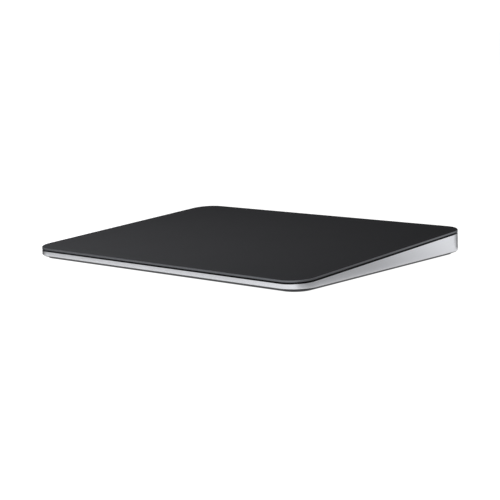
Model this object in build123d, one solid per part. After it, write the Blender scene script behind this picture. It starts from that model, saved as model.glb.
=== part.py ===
from build123d import *

import math
import os

# A wireless desk trackpad: a thin wedge with a black glass touch surface on a silver aluminium case.
# All sizes are in millimetres. +X is the user's right, +Y points to the thick rear edge, +Z is up.
# The origin lies on the desk, under the middle of the outline.

# Overall sizes
width = 160.0
depth = 114.9
front_height = 4.9
rear_height = 10.9
corner_radius = 10.0

# Case, one machined tray of aluminium
wall = 1.4
floor = 0.8
case_edge_bevel = 0.5
floor_bevel = 0.5
rim_gap = 0.6
cut_overrun = 1.0

# Rubber feet, each seated in a shallow counterbore of the underside
foot_stand = 1.1
foot_radius = 4.6
foot_seat_depth = 0.3
foot_seat_clearance = 0.06
foot_edge_chamfer = 0.3
foot_inset = 13.0

# Touch stack, from the glass down
glass_thickness = 0.9
glass_edge_round = 0.22
adhesive_thickness = 0.1
sensor_thickness = 0.5
stiffener_thickness = 0.4
sensor_inset = 3.2
stiffener_inset = 4.6
press_travel = 0.2

# Black gasket bonded under the rim of the glass
seal_thickness = 0.25
seal_inset = 0.7
seal_width = 1.6

# Small screws, all alike but for their length
screw_radius = 0.6
screw_head_radius = 1.05
screw_head_height = 0.35
screw_hole_clearance = 0.05
screw_web = 0.5
screw_tip_space = 0.12

# Force flexures, one tapered spring steel arm at each corner
flexure_thickness = 0.4
flexure_root_length = 9.0
flexure_root_width = 9.0
flexure_root_round = 1.0
flexure_reach = 13.5
flexure_neck_width = 5.4
flexure_tip_radius = 3.0
flexure_slot_length = 4.6
flexure_slot_width = 1.2
flexure_root_inset_x = 9.0
flexure_inset_front = 12.0
flexure_inset_rear = 11.6
flexure_screw_offset = 1.2
post_border = 0.5
pad_side = 4.0
pad_thickness = 0.3

# Strain gauge films, bonded under the necks of the flexures
gauge_length = 3.0
gauge_width = 3.4
gauge_thickness = 0.12
gauge_gap = 0.4

# Haptic engine, hung under the stiffener
haptic_length = 46.0
haptic_width = 21.0
haptic_center_v = -8.5
haptic_corner_round = 1.2
haptic_roof = 0.3
haptic_wall = 0.5
haptic_ear_length = 3.4
haptic_ear_width = 6.0
haptic_board_gap = 1.0
haptic_floor_gap = 0.5
coil_overhang = 0.5
coil_band = 3.4
coil_thickness = 0.5
coil_gap = 0.2
leaf_bay = 7.1
mass_side_gap = 0.5
mass_corner_round = 0.8
mass_cover_gap = 0.2
magnet_end_border = 3.0
magnet_side_border = 3.75
magnet_floor = 0.4
magnet_spacing = 2.0
haptic_travel = 0.4
haptic_cover_thickness = 0.2
leaf_thickness = 0.25
leaf_margin = 0.15
leaf_tab = 4.2
leaf_bend_radius = 0.8
leaf_seat_gap = 0.05

# Logic board, on four bosses of the case floor
board_length = 44.0
board_width = 31.0
board_thickness = 0.8
board_corner_round = 1.2
board_wall_gap = 7.2
board_battery_gap = 0.8
boss_side = 3.4
board_screw_inset = 2.6
lane_gap = 0.8

# Weight-saving slots of the stiffener, in two columns
lightening_width = 9.0
lightening_pitch = 24.0
lightening_rows = 2
lightening_engine_gap = 4.2
lightening_edge_gap = 6.8
lightening_front_share = -0.08

# Parts on the logic board
chip_height = 0.7
processor_side = 9.0
radio_side = 6.0
converter_side = 5.0
charger_side = 4.0
shield_length = 17.0
shield_width = 13.0
shield_height = 1.15
shield_wall = 0.15
shield_x_share = 0.13
shield_y_share = -0.16
chip_shares = (
    (-0.22, 0.18, processor_side),
    (0.02, 0.3, converter_side),
    (0.17, 0.3, charger_side),
    (shield_x_share, shield_y_share, radio_side),
)

# Board connectors, each a low tray that takes the plug of a flat cable
connector_height = 0.6
connector_wall = 0.35
connector_recess = 0.35
connector_breadth = 3.2
connector_inset = 0.4
plug_clearance = 0.03

# Touch controller and connector under the sensor board
touch_chip_side = 6.5
touch_chip_height = 0.6
touch_chip_gap = 0.8
touch_window_margin = 0.8
touch_window_side_margin = 2.0
touch_window_tip_gap = 3.8

# Battery, two pouch cells side by side
channel_clearance = 0.35
cell_post_gap = 3.6
battery_front_y = 14.0
battery_rear_gap = 11.0
battery_headroom = 0.7
battery_adhesive_thickness = 0.12
battery_adhesive_inset = 3.0
cell_edge_round = 1.1
rib_width = 0.8
rib_height = 0.6
rib_clearance = 0.4

# Battery protection board, on two foam pads in front of the cells
guard_width = 3.4
guard_thickness = 0.6
guard_board_gap = 2.4
guard_end_margin = 0.2
guard_cell_gap = 0.6
guard_part_height = 0.5
guard_part_shares = (0.34, 0.66)
guard_part_length_share = 0.24
guard_pad_height = 0.6
guard_pad_length = 5.0
tab_width = 2.4
tab_thickness = 0.15
tab_pitch = 4.2
tab_inset = 2.2
tab_drop = 1.3
tab_reach = 3.2

# Flat flexible cables
ribbon_thickness = 0.15
ribbon_slant = 0.3
ribbon_solder = 1.2
touch_ribbon = 6.0
charge_ribbon = 4.8
battery_ribbon = 2.4
narrow_ribbon = 1.8
ribbon_drop = 1.1

# Charging port in the rear wall
port_width = 8.94
port_height = 3.26
port_length = 7.35
port_shell_wall = 0.3
port_set_back = 0.1
port_cutout_clearance = 0.15
port_back_thickness = 1.2
port_core_clearance = 0.04
tongue_width = 6.69
tongue_thickness = 0.7
tongue_length = 4.45
contact_width = 0.25
contact_pitch = 0.5
contact_count = 12
contact_length = 3.2
contact_thickness = 0.05
port_board_thickness = 0.8
port_board_length = 23.5
port_board_lip = 0.6
port_board_wall_gap = 0.25
port_screw_spacing = 16.4
strap_thickness = 0.3
strap_width = 3.4
strap_clearance = 0.05

# Power switch in the rear wall
switch_x = 37.0
switch_travel = 2.6
knob_length = 4.8
knob_height = 2.5
knob_side_clearance = 0.15
knob_end_clearance = 0.2
knob_set_back = 0.06
knob_plate_thickness = 0.8
knob_plate_height = 4.2
knob_plate_gap = 0.1
knob_grip_depth = 0.25
knob_grip_width = 0.35
knob_grip_pitch = 0.8
knob_grip_count = 4
switch_dish_margin = 1.3
switch_dish_depth = 0.5
fork_prong = 0.8
fork_reach = 0.7
fork_clearance = 0.1
actuator_width = 1.2
actuator_height = 0.8
actuator_length = 1.6
switch_unit_length = 8.0
switch_unit_width = 2.8
switch_unit_height = 1.6
switch_unit_gap = 0.4
switch_board_thickness = 0.6
switch_board_length = 20.5
switch_board_width = 5.2
switch_screw_spacing = 14.0
retainer_thickness = 0.3
retainer_gap = 0.1
retainer_height = 3.4
retainer_length = 17.6

# Antenna, a plated plastic bar beside the rear wall
antenna_length = 22.0
antenna_width = 3.0
antenna_height = 3.6
antenna_x = -36.0
antenna_wall_gap = 1.2
antenna_film = 0.1
antenna_film_margin = 0.4
lead_radius = 0.25
lead_sides = 8
lead_lift = 0.05
lead_bend = 1.5
lead_rear_inset = 0.45
lead_board_reach = 11.0

# The tilted plane of the touch surface
rise = rear_height - front_height
tilt = math.atan2(rise, depth)
slope_length = math.hypot(depth, rise)
middle_height = (front_height + rear_height) / 2
touch_plane = Plane(
    origin=(0, 0, middle_height),
    x_dir=(1, 0, 0),
    z_dir=(0, -math.sin(tilt), math.cos(tilt)),
)


def touch_height(y, drop):
    """Height above the desk, at depth y, of the tilted plane that lies drop below the glass."""
    return middle_height + y * math.tan(tilt) - drop / math.cos(tilt)


def on_touch(v, drop):
    """Depth and height of the point at v along the slope and drop below the glass."""
    depth_there = v * math.cos(tilt) + drop * math.sin(tilt)
    return depth_there, middle_height + v * math.sin(tilt) - drop * math.cos(tilt)


# Derived levels and lengths of the case and touch stack
span = width + depth
rim_drop = glass_thickness + rim_gap
floor_top = foot_stand + floor
inner_half_x = width / 2 - wall
inner_half_y = depth / 2 - wall
adhesive_drop = glass_thickness + adhesive_thickness
sensor_drop = adhesive_drop + sensor_thickness
stack_drop = sensor_drop + stiffener_thickness
flexure_drop = stack_drop + pad_thickness
flexure_under_drop = flexure_drop + flexure_thickness
screw_hole_radius = screw_radius + screw_hole_clearance

# Derived places of the flexures
root_x = width / 2 - flexure_root_inset_x
post_inner_x = root_x - flexure_root_length / 2 - post_border
flexure_front_v = flexure_inset_front - slope_length / 2
flexure_rear_v = slope_length / 2 - flexure_inset_rear
post_breadth = flexure_root_width + 2 * post_border
lowest_post_top = touch_height(flexure_front_v, flexure_under_drop)
screw_hole_depth = lowest_post_top - foot_stand - foot_seat_depth - screw_web
screw_bite = screw_hole_depth - screw_tip_space

# Derived levels and sizes of the haptic engine
coil_drop = stack_drop + haptic_roof + coil_thickness
mass_top_drop = coil_drop + coil_gap
haptic_front_top = touch_height(haptic_center_v - haptic_width / 2, 0)
haptic_room = haptic_front_top - floor_top - press_travel - haptic_floor_gap
mass_thickness = haptic_room - mass_top_drop - mass_cover_gap - haptic_cover_thickness
mass_drop = mass_top_drop + mass_thickness
haptic_drop = mass_drop + mass_cover_gap
haptic_depth = haptic_drop - stack_drop
mass_length = haptic_length - 2 * (haptic_wall + leaf_bay + haptic_travel)
mass_width = haptic_width - 2 * (haptic_wall + mass_side_gap)
magnet_length = (mass_length - magnet_spacing) / 2 - magnet_end_border
magnet_width = mass_width - 2 * magnet_side_border
magnet_thickness = mass_thickness - magnet_floor
coil_length = 2 * magnet_length + magnet_spacing
coil_width = magnet_width + 2 * coil_overhang
leaf_height = mass_thickness - 2 * leaf_margin


def socket_width(breadth):
    """Width of the board connector for a flat cable of the given breadth."""
    return breadth + 2 * (plug_clearance + connector_wall)


# Derived places of the logic board and its connectors
board_left_x = -inner_half_x + board_wall_gap
board_right_x = board_left_x + board_length
board_x = board_left_x + board_length / 2
board_rear_y = battery_front_y - rib_clearance - rib_width - board_battery_gap
board_front_y = board_rear_y - board_width
board_y = board_front_y + board_width / 2
board_under = floor_top + 2 * (lead_lift + lead_radius)
board_top = board_under + board_thickness
socket_reach = connector_inset + connector_breadth / 2
haptic_x = board_right_x + haptic_board_gap + haptic_ear_length + haptic_length / 2
screw_keep_out = board_screw_inset + screw_head_radius + lane_gap

# Derived places of the cables that leave the logic board
battery_lane_y = board_rear_y - screw_keep_out - socket_width(battery_ribbon) / 2
charge_lane_offset = (socket_width(battery_ribbon) + socket_width(charge_ribbon)) / 2 + lane_gap
charge_lane_y = battery_lane_y - charge_lane_offset
lead_lane_y = charge_lane_y - charge_ribbon / 2 - 2 * lane_gap
gauge_lane_right_x = board_right_x - screw_keep_out - socket_width(narrow_ribbon) / 2
gauge_lane_left_y = board_y
gauge_lane_front_y = board_front_y - 4 * narrow_ribbon
trunk_x = inner_half_x - floor_bevel - narrow_ribbon
gauge_tail_x = post_inner_x - ribbon_thickness - narrow_ribbon / 2

# Derived places in the stiffener's window
touch_lane_offset = (socket_width(narrow_ribbon) + socket_width(touch_ribbon)) / 2 + lane_gap
touch_socket_x = gauge_lane_right_x - touch_lane_offset
touch_chips_length = 2 * (touch_chip_side + touch_chip_gap)
touch_window_length = touch_chips_length + socket_width(touch_ribbon) + 2 * touch_window_margin
touch_window_right_x = touch_socket_x + socket_width(touch_ribbon) / 2 + touch_window_margin
touch_window_x = touch_window_right_x - touch_window_length / 2
touch_window_width = touch_chip_side + 2 * touch_window_side_margin
touch_window_v = flexure_front_v + flexure_tip_radius + touch_window_tip_gap + touch_window_width / 2

# Derived places of the battery, with a channel for two cables between the cells
cell_gap = charge_ribbon + 2 * lead_radius + 3 * channel_clearance
charge_lane_x = channel_clearance + (charge_ribbon - cell_gap) / 2
lead_lane_x = cell_gap / 2 - channel_clearance - lead_radius
cell_outer_x = post_inner_x - cell_post_gap
cell_length = cell_outer_x - cell_gap / 2
cell_breadth = inner_half_y - battery_rear_gap - battery_front_y
cell_x = cell_gap / 2 + cell_length / 2
cell_y = battery_front_y + cell_breadth / 2
cell_under = floor_top + battery_adhesive_thickness
cell_top = touch_height(battery_front_y, stack_drop) - press_travel - battery_headroom
cell_thickness = cell_top - cell_under
guard_y = battery_front_y - rib_clearance - rib_width - guard_cell_gap - guard_width / 2
guard_top = floor_top + guard_pad_height + guard_thickness
tab_first_x = cell_gap / 2 + tab_inset
guard_left_x = board_right_x + guard_board_gap
guard_right_x = tab_first_x + tab_pitch + tab_width / 2 + guard_end_margin
guard_length = guard_right_x - guard_left_x
guard_x = (guard_left_x + guard_right_x) / 2
guard_room = -tab_first_x - tab_pitch - tab_width / 2 - guard_left_x
guard_pad_x = (guard_length - guard_pad_length) / 2
battery_lane_x = guard_x - guard_length / 2 + guard_pad_length + battery_ribbon

# Derived places of the charging port
port_rear_y = depth / 2 - port_set_back
port_front_y = port_rear_y - port_length
port_screw_y = port_front_y + strap_thickness + strap_width / 2
port_stack_height = port_board_thickness + port_height + strap_clearance + strap_thickness
port_ceiling = touch_height(port_screw_y, stack_drop) - press_travel
port_board_under = (floor_top + port_ceiling - port_stack_height) / 2
port_board_top = port_board_under + port_board_thickness
port_center_z = port_board_top + port_height / 2
port_board_front_y = port_front_y - port_board_lip
port_board_rear_y = inner_half_y - port_board_wall_gap

# Derived places of the power switch
slot_x = switch_x - switch_travel / 2
slot_length = knob_length + switch_travel + 2 * knob_end_clearance
slot_height = knob_height + 2 * knob_side_clearance
knob_plate_length = slot_length + switch_travel + 2 * knob_end_clearance
knob_plate_y = inner_half_y - knob_plate_gap
knob_plate_front_y = knob_plate_y - knob_plate_thickness
retainer_y = knob_plate_front_y - retainer_gap
switch_board_rear_y = retainer_y - retainer_thickness
switch_unit_y = switch_board_rear_y - switch_unit_gap - switch_unit_width / 2
switch_board_y = switch_board_rear_y - switch_board_width / 2
switch_board_top = port_center_z - switch_unit_height / 2
switch_board_under = switch_board_top - switch_board_thickness

# Derived places of the antenna
antenna_y = inner_half_y - antenna_wall_gap - antenna_width / 2
antenna_right_x = antenna_x + antenna_length / 2
lead_rear_y = antenna_y + antenna_width / 2 - lead_rear_inset
lead_z = floor_top + lead_lift + lead_radius

ON_FLOOR = (Align.CENTER, Align.CENTER, Align.MIN)
SIDES = (("left", -1), ("right", 1))
ENDS = (-1, 1)


def tilted(shape, x=0, v=0, w=0):
    """The shape moved from its own axes to (x, v, w) on the tilted touch plane."""
    return touch_plane.location * Pos(x, v, w) * shape


def plate(length, breadth, thickness, radius):
    """A plate with rounded corners that stands on its own zero level."""
    return extrude(RectangleRounded(length, breadth, radius), amount=thickness)


def block(length, breadth, height):
    """A plain block that stands on its own zero level."""
    return Box(length, breadth, height, align=ON_FLOOR)


def disc(radius, height):
    """A round disc that stands on its own zero level."""
    return Cylinder(radius, height, align=ON_FLOOR)


def above_touch(drop):
    """All the space above the tilted plane that lies drop below the glass."""
    return tilted(block(span, span, rear_height), w=-drop)


def rear_slot(x, z, length, height, outer_y, reach):
    """A slot with round ends that runs from outer_y towards the front."""
    face = Plane(origin=(x, outer_y, z), x_dir=(1, 0, 0), z_dir=(0, -1, 0))
    return extrude(face * SlotOverall(length, height), amount=reach)


def small_screw(grip):
    """A small hexagon screw, drawn plainly, seated on the zero level with grip of it below the head."""
    head = extrude(RegularPolygon(screw_head_radius, 6), amount=screw_head_height)
    shank = extrude(RegularPolygon(screw_radius, 6), amount=grip)
    return head + Pos(0, 0, -grip) * shank


def screw_hole(reach):
    """The bore for a screw, from one overrun above the zero level to reach below it."""
    return Pos(0, 0, -reach) * disc(screw_hole_radius, reach + cut_overrun)


def screw_notch(side, reach, opening):
    """The open-ended slot for a screw, from its middle by the opening towards side along X."""
    middle = side * (opening - screw_hole_radius) / 2
    slot = block(opening + screw_hole_radius, 2 * screw_hole_radius, reach + cut_overrun)
    return Pos(middle, 0, -reach) * slot


def group(shapes):
    """Separate solids kept together as one sub-part."""
    return Compound(children=[solid for shape in shapes for solid in shape.solids()])


def ribbon(points, breadth):
    """A flat cable that lies on the zero level along the points."""
    return extrude(trace(Polyline(*points), breadth), amount=ribbon_thickness)


def fold(points, breadth, thickness):
    """A thin strip creased along points in the XZ plane, breadth wide along Y."""
    profile = Plane.XZ * trace(Polyline(*points), thickness)
    return extrude(profile, amount=breadth / 2, both=True)


def cable_step(start, level, breadth):
    """The end of a flat cable that comes off a board's edge at zero and steps down to the floor at zero."""
    low = ribbon_thickness / 2
    slant = ribbon_drop + ribbon_slant
    points = [(start, level), (ribbon_drop, level), (slant, low), (slant + ribbon_drop, low)]
    return fold(points, breadth, ribbon_thickness)


def cable_socket(breadth):
    """A board connector, a low tray with its opening up, for a cable that leaves along X."""
    tray = block(connector_breadth, socket_width(breadth), connector_height)
    recess = block(connector_breadth - 2 * connector_wall, breadth + 2 * plug_clearance, connector_height)
    return tray - Pos(0, 0, connector_height - connector_recess) * recess


def cable_plug(breadth):
    """The plug that fills the recess of a board connector, up to the top of its cable."""
    length = connector_breadth - 2 * (connector_wall + plug_clearance)
    plug = block(length, breadth, connector_recess + ribbon_thickness)
    return Pos(0, 0, connector_height - connector_recess) * plug


def plugged_step(breadth):
    """A flat cable's end with the plug for a board connector that sits near the board's edge."""
    top = board_top - floor_top
    step = cable_step(-socket_reach, top + connector_height + ribbon_thickness / 2, breadth)
    return step + Pos(-socket_reach, 0, top) * cable_plug(breadth)


def soldered_step(under, breadth):
    """A flat cable's end that is soldered to the underside of a board, under it at the given level."""
    return cable_step(-ribbon_solder, under - floor_top - ribbon_thickness / 2, breadth)


# Places that several sub-parts share

def flexure_places():
    """Name, side and place along the slope of each corner's flexure."""
    for side_name, side in SIDES:
        yield f"front_{side_name}", side, flexure_front_v
        yield f"rear_{side_name}", side, flexure_rear_v


def flexure_screw_places():
    """Middle of each flexure screw on the touch plane."""
    for _, side, v in flexure_places():
        yield side * (root_x + flexure_screw_offset), v


def haptic_screw_places():
    """Middle of each haptic engine screw on the touch plane."""
    for side in ENDS:
        yield haptic_x + side * (haptic_length + haptic_ear_length) / 2, haptic_center_v


def magnet_places():
    """Middle of each of the two magnets along the moving mass."""
    for side in ENDS:
        yield side * (magnet_length + magnet_spacing) / 2


def lightening_slots():
    """Length and middle of each weight-saving slot, from beside the haptic engine to near the edge."""
    first_v = slope_length * lightening_front_share
    for side in ENDS:
        inner_x = haptic_x + side * (haptic_length / 2 + haptic_ear_length + lightening_engine_gap)
        outer_x = side * (width / 2 - stiffener_inset - lightening_edge_gap)
        for row in range(lightening_rows):
            yield abs(outer_x - inner_x), (inner_x + outer_x) / 2, first_v + row * lightening_pitch


def board_corner_places(turn):
    """Two opposite corners of the logic board, which pair of them set by turn."""
    for side in ENDS:
        x = board_x + side * (board_length / 2 - board_screw_inset)
        yield x, board_y + side * turn * (board_width / 2 - board_screw_inset)


def board_screw_places():
    """Middle of each logic board screw, at two opposite corners."""
    yield from board_corner_places(1)


def board_rest_places():
    """Middle of each boss that only carries a corner of the logic board."""
    yield from board_corner_places(-1)


def port_screw_places():
    """Middle of each screw of the charging port."""
    for side in ENDS:
        yield side * port_screw_spacing / 2, port_screw_y


def switch_screw_places():
    """Middle of each switch board screw."""
    for side in ENDS:
        yield slot_x + side * switch_screw_spacing / 2, switch_board_y


def foot_places():
    """Name and middle of each foot on the desk."""
    for end_name, end in (("front", -1), ("rear", 1)):
        for side_name, side in SIDES:
            name = f"foot_{end_name}_{side_name}"
            yield name, side * (width / 2 - foot_inset), end * (depth / 2 - foot_inset)


def board_lanes():
    """Place, turn and cable breadth of each connector at the edges of the logic board."""
    yield board_right_x, charge_lane_y, 0, charge_ribbon
    yield board_right_x, battery_lane_y, 0, battery_ribbon
    yield touch_socket_x, board_front_y, -90, touch_ribbon
    yield gauge_lane_right_x, board_front_y, -90, narrow_ribbon
    yield board_left_x, gauge_lane_left_y, 180, narrow_ribbon


# Case

def case_outside():
    """The wedge of the case without its hollow, bevelled along its lower edge."""
    outside = plate(width, depth, rear_height - foot_stand, corner_radius)
    outside = Pos(0, 0, foot_stand) * outside
    outside -= above_touch(rim_drop)
    return chamfer(outside.edges().group_by(Axis.Z)[0], case_edge_bevel)


def case_hollow():
    """The milled pocket of the case, bevelled round its floor."""
    hollow = plate(2 * inner_half_x, 2 * inner_half_y, rear_height, corner_radius - wall)
    hollow = chamfer(hollow.edges().group_by(Axis.Z)[0], floor_bevel)
    return Pos(0, 0, floor_top) * hollow


def flexure_posts():
    """Corner posts that reach from the floor and side walls to the tilted underside of the flexures."""
    reach = inner_half_x + wall / 2 - post_inner_x
    post = block(reach, post_breadth, rear_height)
    posts = Part()
    for _, side, v in flexure_places():
        middle_y, _ = on_touch(v, flexure_under_drop)
        posts += Pos(side * (post_inner_x + reach / 2), middle_y, foot_stand + floor / 2) * post
    return posts - above_touch(flexure_under_drop)


def case_bosses():
    """The milled bosses under the three boards."""
    base = foot_stand + floor / 2
    levels = (
        (board_screw_places(), board_under),
        (board_rest_places(), board_under),
        (port_screw_places(), port_board_under),
        (switch_screw_places(), switch_board_under),
    )
    bosses = Part()
    for places, top in levels:
        for x, y in places:
            bosses += Pos(x, y, base) * block(boss_side, boss_side, top - base)
    return bosses


def battery_ribs():
    """A low rib round each battery cell, open towards the channel between the cells."""
    clear_x = cell_length + 2 * rib_clearance
    clear_y = cell_breadth + 2 * rib_clearance
    outer = block(clear_x + 2 * rib_width, clear_y + 2 * rib_width, floor / 2 + rib_height)
    rib = outer - block(clear_x, clear_y, rear_height)
    ribs = Part()
    for side in ENDS:
        ribs += Pos(side * cell_x, cell_y, foot_stand + floor / 2) * rib
    return ribs - Pos(0, 0, floor_top) * block(cell_gap, depth, rear_height)


def screw_bores():
    """The blind holes for every screw that goes into the case."""
    bore = screw_hole(screw_hole_depth)
    levels = (
        (board_screw_places(), board_under),
        (port_screw_places(), port_board_under),
        (switch_screw_places(), switch_board_under),
    )
    bores = [tilted(bore, x, v, -flexure_under_drop) for x, v in flexure_screw_places()]
    for places, top in levels:
        bores += [Pos(x, y, top) * bore for x, y in places]
    return bores


def rear_openings():
    """The openings for the charging port and the power switch, and the dish round the switch."""
    outer_y = depth / 2 + cut_overrun
    through = wall + 2 * cut_overrun
    port_length_cut = port_width + 2 * port_cutout_clearance
    port_height_cut = port_height + 2 * port_cutout_clearance
    dish_length = slot_length + 2 * switch_dish_margin
    dish_height = slot_height + 2 * switch_dish_margin
    dish_reach = cut_overrun + switch_dish_depth
    return [
        rear_slot(0, port_center_z, port_length_cut, port_height_cut, outer_y, through),
        rear_slot(slot_x, port_center_z, slot_length, slot_height, outer_y, through),
        rear_slot(slot_x, port_center_z, dish_length, dish_height, outer_y, dish_reach),
    ]


def foot_seats():
    """The shallow round seats of the feet in the underside."""
    seat = disc(foot_radius + foot_seat_clearance, foot_stand + foot_seat_depth)
    return [Pos(x, y, 0) * seat for _, x, y in foot_places()]


def case_shell():
    """The machined tray with its posts, bosses, ribs and rear openings."""
    outside = case_outside()
    shell = outside - case_hollow()
    shell += (flexure_posts() + case_bosses() + battery_ribs()) & outside
    for cut in screw_bores() + rear_openings() + foot_seats():
        shell -= cut
    return shell


def foot():
    """A round rubber foot with a bevelled lower edge."""
    body = disc(foot_radius, foot_stand + foot_seat_depth)
    return chamfer(body.edges().group_by(Axis.Z)[0], foot_edge_chamfer)


# Touch stack

def touch_glass():
    """The black glass plate, its upper edge rounded over."""
    glass = plate(width, slope_length, glass_thickness, corner_radius)
    glass = fillet(glass.edges().group_by(Axis.Z)[-1], glass_edge_round)
    return tilted(glass, w=-glass_thickness)


def inset_plate(inset, thickness, drop):
    """A plate that follows the glass outline at one inset, with its underside drop below the glass."""
    sheet = plate(width - 2 * inset, slope_length - 2 * inset, thickness, corner_radius - inset)
    return tilted(sheet, w=-drop)


def rim_seal():
    """The black gasket ring that closes most of the gap under the glass."""
    drop = glass_thickness + seal_thickness
    ring = inset_plate(seal_inset, seal_thickness, drop)
    return ring - inset_plate(seal_inset + seal_width, seal_thickness + 2 * cut_overrun, drop + cut_overrun)


def stiffener_notches(cutter):
    """The corners cut out of the stiffener round the flexure roots."""
    outer_x = width / 2 + cut_overrun
    outer_v = slope_length / 2 + cut_overrun
    for _, side, v in flexure_places():
        inner_v = abs(v) - post_breadth / 2
        notch = plate(outer_x - post_inner_x, outer_v - inner_v, cutter, flexure_root_round)
        yield notch, side * (outer_x + post_inner_x) / 2, math.copysign((outer_v + inner_v) / 2, v)


def stiffener_plate():
    """The sheet steel plate under the sensor board, notched, windowed and pierced to save weight."""
    cutter = stiffener_thickness + 2 * cut_overrun
    window = plate(touch_window_length, touch_window_width, cutter, board_corner_round)
    bore = disc(screw_hole_radius, cutter)
    cuts = [(window, touch_window_x, touch_window_v), *stiffener_notches(cutter)]
    cuts += [(bore, x, v) for x, v in haptic_screw_places()]
    for length, x, v in lightening_slots():
        cuts.append((extrude(SlotOverall(length, lightening_width), amount=cutter), x, v))
    sheet = inset_plate(stiffener_inset, stiffener_thickness, stack_drop)
    for cut, x, v in cuts:
        sheet -= tilted(cut, x, v, -stack_drop - cut_overrun)
    return sheet


def touch_controllers():
    """The touch controller chips under the sensor board, in the stiffener's window."""
    chip = block(touch_chip_side, touch_chip_side, touch_chip_height)
    first_x = touch_window_x - touch_window_length / 2 + touch_window_margin + touch_chip_side / 2
    drop = sensor_drop + touch_chip_height
    pitch = touch_chip_side + touch_chip_gap
    return group(tilted(chip, first_x + index * pitch, touch_window_v, -drop) for index in (0, 1))


def touch_socket():
    """The connector under the sensor board that takes the touch cable."""
    body = Rot(180, 0, -90) * cable_socket(touch_ribbon)
    return tilted(body, touch_socket_x, touch_window_v, -sensor_drop)


# Force flexures

def flexure(side):
    """One arm: a root plate with a screw hole, a slotted tapering neck and a round tip."""
    root = RectangleRounded(flexure_root_length, flexure_root_width, flexure_root_round)
    neck_start = Circle(flexure_neck_width / 2)
    tip = Pos(-side * flexure_reach, 0) * Circle(flexure_tip_radius)
    neck = make_hull([*neck_start.edges(), *tip.edges()])
    slot_middle = -side * (flexure_root_length + flexure_slot_length) / 2
    outline = root + neck - Pos(slot_middle, 0) * SlotOverall(flexure_slot_length, flexure_slot_width)
    arm = extrude(outline, amount=flexure_thickness)
    return arm - Pos(side * flexure_screw_offset, 0, flexure_thickness) * screw_hole(2 * flexure_thickness)


def flexure_pads():
    """The soft pads that bond the flexure tips to the stiffener."""
    pad = block(pad_side, pad_side, pad_thickness)
    tip_x = root_x - flexure_reach
    return group(tilted(pad, side * tip_x, v, -flexure_drop) for _, side, v in flexure_places())


def strain_gauges():
    """The gauge films under the necks of the flexures."""
    film = block(gauge_length, gauge_width, gauge_thickness)
    x = post_inner_x - gauge_gap - gauge_length / 2
    drop = flexure_under_drop + gauge_thickness
    return group(tilted(film, side * x, v, -drop) for _, side, v in flexure_places())


def flexure_screws():
    """The four screws that clamp the flexure roots to their posts."""
    screw = small_screw(flexure_thickness + screw_bite)
    return group(tilted(screw, x, v, -flexure_drop) for x, v in flexure_screw_places())


# Haptic engine

def haptic_frame():
    """The stamped tray of the haptic engine, open downwards, with a forked ear at each end."""
    tray = plate(haptic_length, haptic_width, haptic_depth, haptic_corner_round)
    ears = plate(haptic_length + 2 * haptic_ear_length, haptic_ear_width, haptic_roof, haptic_corner_round)
    tray += Pos(0, 0, haptic_depth - haptic_roof) * ears
    hollow = block(haptic_length - 2 * haptic_wall, haptic_width - 2 * haptic_wall, haptic_depth)
    tray -= Pos(0, 0, -haptic_roof) * hollow
    for x, v in haptic_screw_places():
        side = math.copysign(1, x - haptic_x)
        notch = screw_notch(side, 2 * haptic_roof, haptic_ear_length)
        tray -= Pos(x - haptic_x, v - haptic_center_v, haptic_depth) * notch
    return tilted(tray, haptic_x, haptic_center_v, -haptic_drop)


def haptic_coil():
    """The flat racetrack coil under the roof of the frame."""
    outer = SlotOverall(coil_length, coil_width)
    inner = SlotOverall(coil_length - 2 * coil_band, coil_width - 2 * coil_band)
    coil = extrude(outer - inner, amount=coil_thickness)
    return tilted(coil, haptic_x, haptic_center_v, -coil_drop)


def haptic_mass():
    """The heavy block that the coil shakes from side to side, with two magnet pockets in its top."""
    body = plate(mass_length, mass_width, mass_thickness, mass_corner_round)
    pocket = block(magnet_length, magnet_width, magnet_thickness)
    for x in magnet_places():
        body -= Pos(x, 0, mass_thickness - magnet_thickness) * pocket
    return tilted(body, haptic_x, haptic_center_v, -mass_drop)


def haptic_magnets():
    """The two magnets that lie in the mass."""
    magnet = block(magnet_length, magnet_width, magnet_thickness)
    drop = mass_top_drop + magnet_thickness
    return group(tilted(magnet, haptic_x + x, haptic_center_v, -drop) for x in magnet_places())


def haptic_leaf(side):
    """A folded leaf spring between one end of the mass and the end wall of the frame."""
    mass_end = mass_length / 2 + leaf_seat_gap + leaf_thickness / 2
    wall_end = haptic_length / 2 - haptic_wall - leaf_seat_gap - leaf_thickness / 2
    reach = mass_width / 2 - mass_corner_round
    points = [
        (side * mass_end, reach),
        (side * mass_end, reach - leaf_tab),
        (side * wall_end, leaf_tab - reach),
        (side * wall_end, -reach),
    ]
    path = FilletPolyline(*points, radius=leaf_bend_radius)
    leaf = extrude(trace(path, leaf_thickness), amount=leaf_height)
    lift = (mass_thickness - leaf_height) / 2
    return tilted(leaf, haptic_x, haptic_center_v, lift - mass_drop)


def haptic_cover():
    """The thin lid under the haptic engine."""
    lid = plate(haptic_length, haptic_width, haptic_cover_thickness, haptic_corner_round)
    return tilted(lid, haptic_x, haptic_center_v, -haptic_drop - haptic_cover_thickness)


def haptic_screws():
    """The two screws that hold the haptic engine to the stiffener, heads down."""
    screw = Rot(180, 0, 0) * small_screw(haptic_roof + stiffener_thickness - screw_tip_space)
    return group(tilted(screw, x, v, -stack_drop - haptic_roof) for x, v in haptic_screw_places())


# Logic board

def logic_board():
    """The main circuit board with a screw notch at two of its corners."""
    board = plate(board_length, board_width, board_thickness, board_corner_round)
    board = Pos(board_x, board_y, board_under) * board
    for x, y in board_screw_places():
        side = math.copysign(1, x - board_x)
        notch = screw_notch(side, 2 * board_thickness, board_screw_inset + cut_overrun)
        board -= Pos(x, y, board_top) * notch
    return board


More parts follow.
